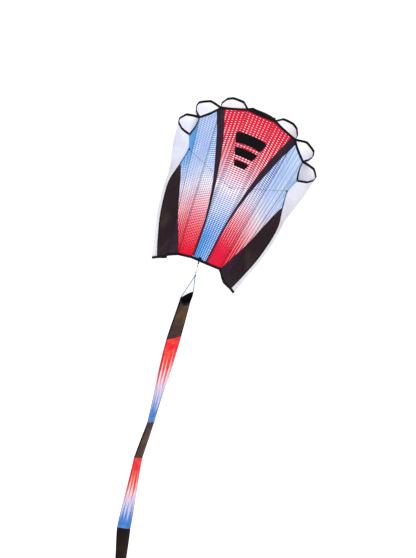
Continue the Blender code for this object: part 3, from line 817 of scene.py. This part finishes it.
def tail_print():
    """Ripstop with the tail's print: red spikes that run down into white, and blue ones that run up."""
    finish = Finish("tail_print", 0.50)
    x, z = finish.flat()
    down = finish.mark("down")
    spikes = finish.math("MULTIPLY", finish.mark("round"), SPIKES)
    cell = finish.math("FLOOR", spikes)
    turn = finish.math("SINE", finish.math("MULTIPLY", cell, 12.9898))
    chance = finish.math("FRACT", finish.math("MULTIPLY", turn, 43758.5453))
    place = finish.math("MULTIPLY_ADD", chance, 0.14, finish.math("SUBTRACT", down, 0.07))
    middle = finish.math("SUBTRACT", finish.math("FRACT", spikes), 0.5)
    off = finish.math("MULTIPLY", finish.math("ABSOLUTE", middle), 2.0)
    red_wide = finish.math("MULTIPLY_ADD", place, -2.1, 1.42)
    red = finish.ramp(finish.math("SUBTRACT", off, red_wide), -SPIKE_SOFTNESS, SPIKE_SOFTNESS, 1.0, 0.0)
    red = finish.math("MULTIPLY", red, finish.ramp(place, 0.30, 0.78, 1.0, 0.25))
    blue_wide = finish.math("MULTIPLY_ADD", place, 2.6, -1.35)
    past_blue = finish.math("SUBTRACT", finish.math("SUBTRACT", 1.0, off), blue_wide)
    blue = finish.ramp(past_blue, -SPIKE_SOFTNESS, SPIKE_SOFTNESS, 1.0, 0.0)
    blue = finish.math("MULTIPLY", blue, finish.ramp(place, 0.50, 0.88, 0.4, 1.0))
    blue = finish.math("MAXIMUM", blue, finish.ramp(down, 0.80, 0.92))
    shade = finish.ramp(finish.spots(x, z, 25.0), 0.35, 0.65)
    paper = finish.mix(finish.ramp(down, 0.35, 0.75), srgb(248, 238, 242), srgb(222, 218, 244))
    warm = finish.mix(shade, srgb(236, 40, 56), srgb(250, 88, 66))
    cloth = finish.mix(red, paper, warm)
    cloth = finish.mix(blue, cloth, finish.mix(shade, srgb(62, 132, 208), srgb(96, 152, 220)))
    threads = finish.ripstop(x, z)
    cloth = finish.mix(finish.math("MULTIPLY", threads, 0.12), cloth, srgb(90, 80, 110))
    # painted shade: deeper red at the pressed edges, fading down the section
    deep = finish.math("MULTIPLY", finish.mark("darkened"), finish.ramp(down, 0.30, 0.70, 0.75, 0.20))
    cloth = finish.mix(deep, cloth, srgb(168, 10, 34))
    finish.colour(cloth)
    finish.bump(finish.math("MULTIPLY_ADD", finish.weave(x, z), 0.25, threads), 0.00015, 0.6)
    finish.see_light(0.30, cloth)
    finish.sheen(0.05)
    return finish.made


def black_tape():
    """Folded black edge tape in a fine twill, with a row of stitches near its inner edge."""
    finish = Finish("black_tape", 0.62)
    along, across = finish.flat()
    twill = finish.wave(finish.math("ADD", along, across), 0.0011)
    fade = finish.ramp(finish.spots(along, across, 60.0), 0.35, 0.7)
    cloth = finish.mix(fade, srgb(8, 7, 10), srgb(22, 19, 24))
    thread = finish.stitches(across, along, TAPE - 0.0016)
    cloth = finish.mix(thread, cloth, srgb(62, 56, 66))
    finish.colour(cloth)
    finish.bump(finish.math("MULTIPLY_ADD", thread, 2.0, twill), 0.0002, 0.7)
    finish.sheen(0.03)
    return finish.made


def cord_finish(name, dark, light):
    """Braided line: crossing strands along and round it."""
    finish = Finish(name, 0.60)
    along, across = finish.flat()
    lean = finish.math("MULTIPLY", across, 1.4)
    first = finish.wave(finish.math("ADD", along, lean), 0.0020)
    second = finish.wave(finish.math("SUBTRACT", along, lean), 0.0020)
    strands = finish.math("MAXIMUM", first, second)
    finish.colour(finish.mix(finish.ramp(strands, -0.2, 0.9), dark, light))
    finish.bump(strands, 0.0002, 0.8)
    finish.sheen(0.2)
    return finish.made


def metal(name, colour, worn, roughness):
    """Bright metal with faint drawing marks and a little tarnish."""
    finish = Finish(name, roughness, 1.0)
    x, _, z = finish.object_place()
    tarnish = finish.ramp(finish.spots(x, z, 900.0), 0.4, 0.75)
    finish.colour(finish.mix(tarnish, colour, worn))
    dulled = finish.ramp(tarnish, 0.0, 1.0, roughness, roughness + 0.18)
    finish.feed(finish.shader.inputs["Roughness"], dulled)
    finish.bump(finish.spots(finish.math("MULTIPLY", x, 0.1), z, 6000.0), 0.00003, 0.4)
    return finish.made


def black_plastic():
    """Moulded black plastic with a fine grain."""
    finish = Finish("black_plastic", 0.42)
    x, y, _ = finish.object_place()
    grain = finish.spots(x, y, 2500.0)
    finish.colour(finish.mix(grain, srgb(18, 18, 20), srgb(36, 35, 38)))
    finish.bump(grain, 0.00005, 0.5)
    return finish.made


# --- the canopy ----------------------------------------------------------------------------------
def flat_marks(cell):
    """What the print's shading reads at each point of a lower panel."""
    side_columns = SIDE_COLUMNS_LEFT if cell < MIDDLE else SIDE_COLUMNS_RIGHT

    def stripe(s, t):
        out = abs(flat_x(cell, s, t))
        return min(out - stripe_inner(t), stripe_outer(t) - out)

    def side(s, t):
        return abs(flat_x(cell, s, t)) - (stripe_inner(t) + stripe_outer(t)) / 2

    def tip(s, t):
        return abs(flat_x(cell, s, t)) - tip_inner(t)

    def edge(s, t):
        return min(s, 1 - s) * (seam(SEAMS[cell + 1], t) - seam(SEAMS[cell], t)).length

    def column(s, t):
        return atan2(lower_point(cell, s, t, False).x, t + FAN) / DOT_PITCH

    def row(s, t):
        return log(hypot(lower_point(cell, s, t, False).x, t + FAN) + 0.5) / DOT_ROW

    def sparse(s, t):
        """Less ink shows where light comes through the panels furthest right."""
        return -SPARSE * clamp((flat_x(cell, s, t) - 0.27) / 0.08) * clamp((t - 0.55) / 0.12)

    def rim(s, t):
        """More ink along the side edge, up to the lip."""
        away = flat_seams(t)[-1] - abs(flat_x(cell, s, t))
        reach = RIM_LEFT if cell < MIDDLE else RIM_RIGHT
        return RIM * clamp((reach - away) / 0.07) * clamp((t - 0.50) / 0.3)

    return {
        "stripe": stripe, "side": side, "tip": tip, "edge": edge,
        "outer": lambda s, t: float(cell in (0, CELLS - 1)),
        "middle_column": column, "middle_row": row,
        "side_column": lambda s, t: column(s, t) * side_columns,
        "side_row": lambda s, t: row(s, t) * SIDE_ROWS,
        # near marks the panel right of the middle one, which the print paints in shade
        "near": lambda s, t: float(cell == MIDDLE + 1),
        "sparse": sparse, "rim": rim,
    }


def make_cells(printed, white):
    for cell in range(CELLS):
        number = cell + 1
        lower = new_piece(
            f"lower_cloth_{number}",
            grid_mesh(
                "lower",
                lambda s, t: lower_point(cell, s, t),
                LOWER_STEPS,
                CHORD_STEPS,
                lambda s, t: (flat_x(cell, s, t), t),
                flat_marks(cell),
            ),
            printed,
            CANOPY,
            "canopy",
        )
        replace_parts(lower, f"lower_panel_{number}")
        declare_sheet(lower, lambda s, t: lower_point(cell, s, t, False))

        def arc(s, t):
            """The distance across an upper skin's flat cloth, roughly, and up its chord."""
            width = (seam(SEAMS[cell + 1], t) - seam(SEAMS[cell], t)).length
            return (s - 0.5) * (width * 0.7 + cell_height(cell, t) * 1.8)

        upper = new_piece(
            f"upper_cloth_{number}",
            grid_mesh(
                "upper",
                lambda s, t: upper_point(cell, s, t),
                UPPER_STEPS,
                CHORD_STEPS,
                lambda s, t: (arc(s, t), t),
                {"edge": lambda s, t: abs(arc(0, t)) - abs(arc(s, t))},
            ),
            white,
            CANOPY,
            "canopy",
        )
        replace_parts(upper, f"upper_skin_{number}")
        declare_sheet(upper, lambda s, t: upper_point(cell, s, t, False))


def make_gussets(white):
    """The small ends that close the outermost cells at the trailing edge."""
    for side, cell in (("left", 0), ("right", CELLS - 1)):
        def place(s, t):
            return lower_point(cell, (1 - cos(pi * s)) / 2, 0).lerp(upper_point(cell, s, 0), t)

        marks = {"edge": lambda s, t: 0.01}
        mesh = grid_mesh("gusset", place, 24, 4, lambda s, t: (s * 0.1, t * 0.018), marks)
        new_piece(f"end_gusset_{side}", mesh, white, CANOPY, "canopy")


def make_seam_ridges(white):
    """The seam allowance that stands up between two upper skins."""
    steps = [i / 100 for i in range(101)]
    for number in SEAMS[1:-1]:
        cell = SEAMS.index(number)
        path = [seam(number, t) + 0.0012 * outward(cell, t) for t in steps]
        ups = [(outward(cell, t) + outward(cell - 1, t)).normalized() for t in steps]
        sides = [(seam(number, 1) - seam(number, 0)).normalized().cross(up) for up in ups]
        mesh = sweep_mesh("ridge", path, ups, sides, tape_section(0.0035, 0.0009))
        edge = mesh.attributes.new("edge", "FLOAT", "POINT")
        edge.data.foreach_set("value", [0.01] * len(mesh.vertices))
        new_piece(f"seam_ridge_{SEAMS.index(number)}", mesh, white, CANOPY, "canopy")


def make_tapes(black):
    points, sides, ups = [], [], []
    per_cell = 14
    for cell in range(CELLS):
        for i in range(per_cell + (cell == CELLS - 1)):
            s = i / per_cell
            here = lower_point(cell, s, 1)
            points.append(here)
            sides.append((lower_point(cell, s, 0.98) - here).normalized())
            ups.append(outward(cell, 1))
    made = tape("leading_edge_tape", points, sides, ups, black, CANOPY, "canopy", LEADING_TAPE, LIP_THICK)
    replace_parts(made, "leading_edge_binding")

    for cell in range(CELLS):
        shares = [i / 40 for i in range(41)]
        lip = [upper_point(cell, s, 1) for s in shares]
        into = [(upper_point(cell, s, 0.98) - upper_point(cell, s, 1)).normalized() for s in shares]
        faces = [upper_normal(cell, s, 1) for s in shares]
        made = tape(f"lip_tape_{cell + 1}", lip, into, faces, black, CANOPY, "canopy", LIP_TAPE, LIP_THICK)
        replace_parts(made, f"lip_binding_{cell + 1}")

    points, sides, ups = [], [], []

    def add_corner(cell, s, shares):
        """The run past the side edge, where the tape holds the skin's folded end."""
        tip, inner = seam(SEAMS[cell + s], 0), seam(SEAMS[cell + 1 - s], 0)
        for share in shares:
            points.append(tip + share * TIP_CORNER * (tip - inner).normalized())
            sides.append((lower_point(cell, s, 0.03, False) - tip).normalized())
            ups.append(outward(cell, 0))

    run = [i / 8 for i in range(8, 0, -1)]
    add_corner(0, 0, run)
    for cell in range(CELLS):
        for i in range(per_cell + (cell == CELLS - 1)):
            s = i / per_cell
            here = lower_point(cell, s, 0)
            points.append(here)
            sides.append((lower_point(cell, s, TRAILING_TAPE) - here).normalized())
            ups.append(outward(cell, 0))
    add_corner(CELLS - 1, 1, list(reversed(run)))
    made = tape("trailing_edge_tape", points, sides, ups, black, CANOPY, "canopy", TRAILING_TAPE, LIP_THICK)
    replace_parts(made, "trailing_edge_binding")


def make_sides(black, printed):
    """Tape up each wing tip as far as the bridle, and a narrow rolled hem from there to the lip."""
    hold = BRIDLE_AT / (len(SIDE_EDGE) - 1)
    for side, cell, s in (("left", 0, 0), ("right", CELLS - 1, 1)):
        inner = 0.02 if s == 0 else 0.98
        steps = [0.004 + (hold - 0.004) * i / 90 for i in range(91)]
        edge = [lower_point(cell, s, t) for t in steps]
        into = [(lower_point(cell, inner, t) - here).normalized() for here, t in zip(edge, steps)]
        ups = [outward(cell, t) for t in steps]
        made = tape(f"side_tape_{side}", edge, into, ups, black, CANOPY, "canopy")
        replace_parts(made, f"side_binding_{side}")

        steps = [hold + (1 - hold) * i / 40 for i in range(41)]
        path = [lower_point(cell, s, t) for t in steps]
        into = [(lower_point(cell, inner, t) - here).normalized() for here, t in zip(path, steps)]
        ups = [outward(cell, t) for t in steps]
        section = round_section(0.0020)
        mesh = sweep_mesh("hem", path, into, ups, section)
        reading = dict.fromkeys(flat_marks(cell), 0)
        reading.update({"stripe": -1, "side": 1, "tip": -1, "edge": 0.01, "outer": 1, "rim": HEM_RIM})
        for label, value in reading.items():
            mark = mesh.attributes.new(label, "FLOAT", "POINT")
            mark.data.foreach_set("value", [value] * len(mesh.vertices))
        layer = mesh.uv_layers["cloth"]
        for loop in mesh.loops:
            at, corner = divmod(loop.vertex_index, len(section))
            layer.data[loop.index].uv = (0.5 + section[corner][0], steps[at])
        new_piece(f"side_hem_{side}", mesh, printed, CANOPY, "canopy")


def make_pouch(tape_black, plastic, cord_black):
    """The rolled stow pouch in the middle cell's mouth, with its cord and bead."""
    long, deep, high = 0.140, 0.0155, 0.0150
    lip = Vector((0, LEADING[0][1], LEADING[0][2]))
    tilt = Matrix.Rotation(radians(3.5), 3, "Y")
    middle = lip + Vector((-0.003, 0.0095, 0.0030))

    def place(s, t):
        along = 2 * t - 1
        round_end = max(0.0, 1 - abs(along) ** 14) ** 0.5
        angle = 2 * pi * s
        rough = noise.noise(Vector((along * 4, cos(angle), sin(angle))))
        layer = 0.06 * (s - 0.5)  # the roll's outer turn ends in a step along its front
        turn = (1 + 0.09 * rough + layer) * (1 + 0.10 * (1 - along) / 2)
        point = Vector((
            along * long / 2 + 0.002 * rough,
            cos(angle + 0.9) * deep / 2 * turn * round_end,
            sin(angle + 0.9) * high / 2 * turn * round_end,
        ))
        return middle + tilt @ point

    mesh = grid_mesh("pouch", place, 48, 72, lambda s, t: (t * long, s * 0.05 + 0.02))
    pouch = new_piece("stow_pouch_roll", mesh, tape_black, CANOPY, "canopy")
    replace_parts(pouch, "stow_pouch")

    start = middle + tilt @ Vector((long / 2 - 0.003, 0, 0))
    bead_at = lip + Vector((0.079, 0.0060, 0.0088))
    halfway = start.lerp(bead_at, 0.5) + Vector((0, 0, 0.001))
    points = [start, halfway, bead_at, bead_at + Vector((0.007, 0, 0.001))]
    line("pouch_cord", points, 0.0009, cord_black, CANOPY, "canopy")
    refined("pouch_bead", plastic)


def trefoil(centre, size, count=72):
    """The closed path of an overhand knot."""
    path = []
    for i in range(count):
        a = 2 * pi * i / count
        path.append(centre + size * Vector((sin(a) + 2 * sin(2 * a), -sin(3 * a), cos(a) - 2 * cos(2 * a))))
    return path


def make_bridle(tape_black, cord_black):
    """Two legs from the side edges to a knot, and the tow loop that a flying line is hitched to."""
    for side, sign in (("left", -1), ("right", 1)):
        hold = Vector(SIDE_EDGE[BRIDLE_AT])
        hold.x *= sign
        way = (KNOT_AT - hold).normalized()
        across = way.cross(Vector((0, 0, 1))).normalized()
        upright = across.cross(way).normalized()
        path = [hold + (0.001 + 0.018 * i / 8) * way for i in range(9)]
        section = [(0.0042 * cos(a), 0.0009 * sin(a)) for a in (2 * pi * i / 20 for i in range(20))]
        mesh = sweep_mesh("tab", path, [upright] * 9, [across] * 9, section)
        tab = new_piece(f"bridle_tab_tape_{side}", mesh, tape_black, CANOPY, "canopy")
        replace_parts(tab, f"bridle_tab_{side}")

        first, last = hold + 0.017 * way, KNOT_AT - 0.002 * way
        sag = [first.lerp(last, i / 8) - Vector((0, 0, 0.0015 * sin(pi * i / 8))) for i in range(9)]
        made = line(f"bridle_line_{side}", sag, 0.0008, cord_black, CANOPY, "canopy", steps=3)
        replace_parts(made, f"bridle_leg_{side}")
        wraps = [
            hold
            + (0.013 + 0.0045 * i / 48) * way
            + 0.0016 * (cos(pi * i / 8) * across + 1.8 * sin(pi * i / 8) * upright)
            for i in range(49)
        ]
        line(f"bridle_wrap_{side}", wraps, 0.0007, cord_black, CANOPY, "canopy", steps=1, sides=8)

    path = trefoil(KNOT_AT, 0.00095)
    knot = line("bridle_overhand", path, 0.0008, cord_black, CANOPY, "canopy", closed=True)
    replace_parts(knot, "bridle_knot")

    wide, body = 0.006, TOW_LOOP - 0.0068
    right_side = [(0.0006, 0.001), (wide * 0.8, 0.0120), (wide, 0.0180)]
    bight = [(wide * cos(a * pi / 8), body + wide * sin(a * pi / 8)) for a in range(9)]
    left_side = [(-x, along) for x, along in reversed(right_side)]
    loop = [KNOT_AT + Vector((x, 0, 0)) + along * SIGHT for x, along in right_side + bight + left_side]
    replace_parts(line("tow_loop_line", loop, 0.0008, cord_black, CANOPY, "canopy"), "tow_loop")


def stitch_row(name, corners, pitch, finish, matrix, body, up):
    """Raised stitches along a run of straight lines."""
    mesh = bpy.data.meshes.new(name)
    bm = bmesh.new()
    for start, end in zip(corners, corners[1:]):
        count = max(1, int((end - start).length / pitch))
        way = (end - start).normalized()
        turn = Matrix((way, up.cross(way), up)).transposed().to_4x4()
        for i in range(count):
            place = start.lerp(end, (i + 0.5) / count)
            shape = Matrix.Translation(place) @ turn @ Matrix.Diagonal((pitch * 0.34, 0.00035, 0.00030, 1))
            bmesh.ops.create_uvsphere(bm, u_segments=8, v_segments=6, radius=1.0, matrix=shape)
    bm.to_mesh(mesh)
    bm.free()
    mesh.uv_layers.new(name="cloth")
    return new_piece(name, mesh, finish, matrix, body)


def make_tail_tab(black, thread):
    """The triangular patch in the middle of the trailing edge, and the strap that hangs from it."""
    wide, high, thick = 0.052, 0.030, 0.0012
    under = [
        lower_point(MIDDLE, 0.5 + share, up_by)
        for share in (-0.15, 0, 0.15)
        for up_by in (0, 0.008, 0.016, 0.024)
    ]
    front = Vector((0, min(point.y for point in under) - 0.0030, 0.0005))
    corner, foot = 0.0022, 0.0006
    outline = [
        (-wide / 2 + corner, foot), (wide / 2 - corner, foot), (wide / 2 - corner / 2, corner / 2 + foot),
        (corner * 1.5, high - corner), (0, high - corner / 2), (-corner * 1.5, high - corner),
        (-wide / 2 + corner / 2, corner / 2 + foot),
    ]
    mesh = bpy.data.meshes.new("tab")
    bm = bmesh.new()
    ring = [bm.verts.new(front + Vector((x, -thick / 2, z))) for x, z in outline]
    face = bm.faces.new(ring)
    moved = bmesh.ops.extrude_face_region(bm, geom=[face])["geom"]
    bmesh.ops.translate(bm, vec=(0, thick, 0), verts=[v for v in moved if isinstance(v, bmesh.types.BMVert)])
    bmesh.ops.recalc_face_normals(bm, faces=bm.faces)
    bm.to_mesh(mesh)
    bm.free()
    layer = mesh.uv_layers.new(name="cloth")
    for loop in mesh.loops:
        point = mesh.vertices[loop.vertex_index].co
        layer.data[loop.index].uv = (point.x, point.z + 0.05)
    patch = new_piece("tail_tab_patch", mesh, black, CANOPY, "canopy")
    rounding = patch.modifiers.new("round", "BEVEL")
    rounding.width = 0.0004
    rounding.segments = 3
    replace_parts(patch, "tail_tab")

    inset = 0.0030
    up = Vector((0, -1, 0))
    rise = front + Vector((0, -thick / 2, 0))
    run = [
        rise + Vector((x, 0, z))
        for x, z in (
            (-wide / 2 + 2.2 * inset, inset), (wide / 2 - 2.2 * inset, inset), (0, high - 1.6 * inset),
            (-wide / 2 + 2.2 * inset, inset),
        )
    ]
    stitch_row("tail_tab_stitches", run, 0.0030, thread, CANOPY, "canopy", up)

    turn_at, leaf = Vector((0, 0, -0.017)), 0.0024
    bend = [turn_at + leaf * Vector((0, -cos(a), -sin(a))) for a in (pi * i / 8 for i in range(9))]
    left_leaf = [Vector((0, -0.0009, -0.0020)), Vector((0, -0.0009, -0.0080)), Vector((0, -0.0017, -0.0130))]
    right_leaf = [Vector((0, -p.y, p.z)) for p in reversed(left_leaf)]
    path = smooth([*left_leaf, *bend, *right_leaf], 3)
    way = [(b - a).normalized() for a, b in zip([path[0], *path], [*path, path[-1]])][1:]
    way[-1] = way[-2]
    side = Vector((1, 0, 0))
    section = [(0.0039 * cos(a), 0.0005 * sin(a)) for a in (2 * pi * i / 16 for i in range(16))]
    section = [(max(-0.0038, min(0.0038, 1.3 * a)), b) for a, b in section]
    mesh = sweep_mesh("strap", path, [side] * len(path), [side.cross(w) for w in way], section)
    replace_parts(new_piece("tail_strap_tape", mesh, black, TAIL, "canopy"), "tail_strap")


# --- the snap swivel and the tail ----------------------------------------------------------------
def make_swivel(brass, steel):
    for node in ("upper_barrel", "lower_barrel"):
        refined(node, brass)
    for node in ("strap_link", "snap_frame", "snap_gate", "lower_eye", "tail_ring"):
        refined(node, steel)


def bend_with(piece, join):
    """Bakes piece's placement into its mesh; the frame of the tail's join, counted from 1, is worked out but
    not used.
    """
    middle, across, front = ring_at(join)
    down = across.cross(front)
    if down.z > 0:
        down = -down
    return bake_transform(piece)


def darkened(section, s, t):
    """1 where the tail's cloth is painted dark: painted shade at its pressed edges and inside its mouth, and
    0.85 over the whole last section.
    """
    folded = min(1, 8 * abs(cos(2 * pi * s)) ** 16)
    if section == len(TAIL_RINGS) - 2:
        return 0.85
    if section == 0 and sin(2 * pi * s) < 0.05:
        return max(folded, clamp((0.26 - t) / 0.04))
    return folded


def make_tail_cloth(printed, dark):
    """Each section's cloth, in pieces that are each given one join."""
    sections = len(TAIL_RINGS) - 1
    for section in range(sections):
        length = (Vector(TAIL_RINGS[section + 1][0]) - Vector(TAIL_RINGS[section][0])).length
        middle = section not in (0, sections - 1)
        parts = ((0, 0.5, section), (0.5, 1, section + 1)) if middle else ((0, 1, max(1, section)),)
        for count, (low, high, join) in enumerate(parts):
            def place(s, t):
                return tail_point(section, s, low + (high - low) * t)

            steps = max(12, round(length * (high - low) / 0.005))
            half = f"_{'ab'[count]}" if middle else ""
            mesh = grid_mesh(
                "tube",
                place,
                72,
                steps,
                lambda s, t: (s * 2 * TAIL_WIDTH, (low + (high - low) * t) * length),
                {
                    "round": lambda s, t: s,
                    "down": lambda s, t: low + (high - low) * t,
                    "darkened": lambda s, t: darkened(section, s, low + (high - low) * t),
                },
            )
            piece = new_piece(f"tail_cloth_{section + 1}{half}", mesh, printed if section % 2 else dark, TAIL)
            bend_with(piece, join)
            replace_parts(piece, f"tail_section_{section + 1}")


def ring_frames(section, t, into):
    """A ring round the tail with, at each point, the way into the cloth and the way out of the tube."""
    shares = [i / 72 for i in range(72)]
    points = [tail_point(section, s, t) for s in shares]
    sides = [(tail_point(section, s, t + into) - p).normalized() for s, p in zip(shares, points)]
    middle = sum(points, Vector()) / len(points)
    ups = []
    for index, (point, side) in enumerate(zip(points, sides)):
        along = (points[(index + 1) % 72] - points[index - 1]).normalized()
        up = along.cross(side).normalized()
        ups.append(up if up.dot(point - middle) > 0 else -up)
    return points, sides, ups


def make_tail_trim(black, dark, cord_blue):
    last = len(TAIL_RINGS) - 2
    points, sides, ups = ring_frames(0, 0, 0.02)
    mouth = tape("mouth_tape", points, sides, ups, black, TAIL, "tail_1", closed=True)
    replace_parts(mouth, "mouth_hem")
    points, sides, ups = ring_frames(last, 1, -0.02)
    end = tape("end_tape", points, sides, ups, black, TAIL, "tail_5", closed=True)
    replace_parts(end, "end_hem")
    for join in range(1, last + 1):
        points, sides, ups = ring_frames(join, 0, 0.01)
        section = tape_section(0.0030, 0.0011)
        centred = [p - 0.0012 * side for p, side in zip(points, sides)]
        mesh = sweep_mesh("join", centred, sides, ups, section, True)
        bend_with(new_piece(f"join_tape_{join}", mesh, dark, TAIL), join)

    top, bottom = -0.0862, -0.105
    turns, per_turn = 7, 16
    wraps = []
    for i in range(turns * per_turn + 1):
        a = 2 * pi * i / per_turn
        belly = 0.0025 + 0.0006 * sin(pi * i / (turns * per_turn))
        height = top - 0.0013 + (bottom - top + 0.0026) * i / (turns * per_turn)
        wraps.append(Vector((belly * cos(a), belly * sin(a), height)))
    made = line("tail_knot_wraps", wraps, 0.0012, cord_blue, TAIL, "tail_1", steps=1, sides=10)
    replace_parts(made, "tail_knot")
    one_side = [(0, -0.0012, -0.0885), (0, -0.0022, -0.0850)]
    eye = [*one_side, (0, 0, -0.0821), *[(x, -y, z) for x, y, z in reversed(one_side)]]
    line("tail_eye_loop", eye, 0.0010, cord_blue, TAIL, "tail_1", steps=6)

    for side, share, x in (("left", 0.5, -0.0016), ("right", 0.0, 0.0016)):
        corner = tail_point(0, share, 0) + Vector((0, 0, 0.0026))
        start = Vector((x, 0, bottom + 0.004))
        fall = [start.lerp(corner, i / 6) for i in range(7)]
        made = line(f"tail_cord_{side}", fall, 0.0024, cord_blue, TAIL, "tail_1")
        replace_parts(made, f"tail_line_{side}")
        way = (corner - start).normalized()
        away = way.orthogonal().normalized()
        beside = way.cross(away)
        wraps = [
            corner
            - 0.0062 * way
            + 0.0055 * i / 36 * way
            + 0.0019 * (cos(pi * i / 6) * away + sin(pi * i / 6) * beside)
            for i in range(37)
        ]
        line(f"corner_knot_{side}", wraps, 0.0009, cord_blue, TAIL, "tail_1", steps=1, sides=8)


# --- camera, floor and light ---------------------------------------------------------------------
def make_camera():
    """Looks at the printed face from the flyer's side, rolled so that the tail runs down to the left."""
    roll = radians(23.3)
    pixel = 0.0059  # metres to a pixel at the kite
    image_height = 558
    lens, sensor = 1000.0, 36.0
    turned = Matrix.Rotation(LEAN, 3, "Y")
    back = turned @ SIGHT
    canopy_right = turned @ Vector((1, 0, 0))
    canopy_up = back.cross(canopy_right)
    right = cos(roll) * canopy_right + sin(roll) * canopy_up
    up = cos(roll) * canopy_up - sin(roll) * canopy_right
    trailing_edge = TAIL.translation
    target = trailing_edge + 9.1 * pixel * right - 17.9 * pixel * up
    distance = image_height * pixel * lens / sensor
    data = bpy.data.cameras.new("camera")
    data.lens = lens
    data.sensor_width = sensor
    data.clip_end = 400
    camera = bpy.data.objects.new("camera", data)
    facing = Matrix((right, up, back)).transposed().to_4x4()
    camera.matrix_world = Matrix.Translation(target + distance * back) @ facing
    bpy.context.scene.collection.objects.link(camera)
    bpy.context.scene.camera = camera


def area_light(name, place, aim, size, power):
    data = bpy.data.lights.new(name, "AREA")
    data.size = size
    data.energy = power
    light = bpy.data.objects.new(name, data)
    light.location = place
    light.rotation_euler = (Vector(aim) - Vector(place)).to_track_quat("-Z", "Y").to_euler()
    bpy.context.scene.collection.objects.link(light)


def make_studio():
    low, high = cad_box
    middle = (low + high) / 2
    reach = 60.0
    mesh = bpy.data.meshes.new("floor")
    bm = bmesh.new()
    bmesh.ops.create_grid(bm, x_segments=1, y_segments=1, size=reach)
    bm.to_mesh(mesh)
    bm.free()
    finish = Finish("floor", 0.9)
    finish.colour(srgb(250, 250, 252))
    finish.shader.inputs["Emission Color"].default_value = (1, 1, 1, 1)
    finish.shader.inputs["Emission Strength"].default_value = 0.45
    mesh.materials.append(finish.made)
    floor = bpy.data.objects.new("floor", mesh)
    floor.location = (middle.x, middle.y, low.z - 1.6)
    bpy.context.scene.collection.objects.link(floor)

    world = bpy.data.worlds.new("studio")
    world.use_nodes = True
    world.node_tree.nodes["Background"].inputs["Color"].default_value = (0.99, 0.98, 0.98, 1.0)
    world.node_tree.nodes["Background"].inputs["Strength"].default_value = 0.68
    bpy.context.scene.world = world
    area_light("key", middle + Vector((-4.5, -4.5, 2.5)), middle, 2.5, 150)
    area_light("fill", middle + Vector((4.5, -4.5, 3.0)), middle, 2.5, 130)
    area_light("back", middle + Vector((-1.0, 5.0, 4.0)), middle, 2.5, 320)
    bpy.context.scene.view_settings.view_transform = "Standard"


def main():
    make_camera()
    make_studio()
    printed, white, dark, streaked = printed_cloth(), white_cloth(), dark_cloth(), tail_print()
    black = black_tape()
    cord_black = cord_finish("black_cord", srgb(20, 20, 24), srgb(70, 70, 78))
    cord_blue = cord_finish("blue_cord", srgb(8, 58, 108), srgb(36, 106, 160))
    brass = metal("brass", srgb(186, 152, 92), srgb(122, 92, 48), 0.30)
    steel = metal("steel", srgb(150, 156, 168), srgb(96, 98, 106), 0.30)
    plastic = black_plastic()

    make_cells(printed, white)
    make_gussets(white)
    make_seam_ridges(white)
    make_tapes(black)
    make_sides(black, printed)
    make_pouch(black, plastic, cord_black)
    make_bridle(black, cord_black)
    make_tail_tab(black, cord_black)
    make_swivel(brass, steel)
    make_tail_cloth(streaked, dark)
    make_tail_trim(black, dark, cord_blue)


main()
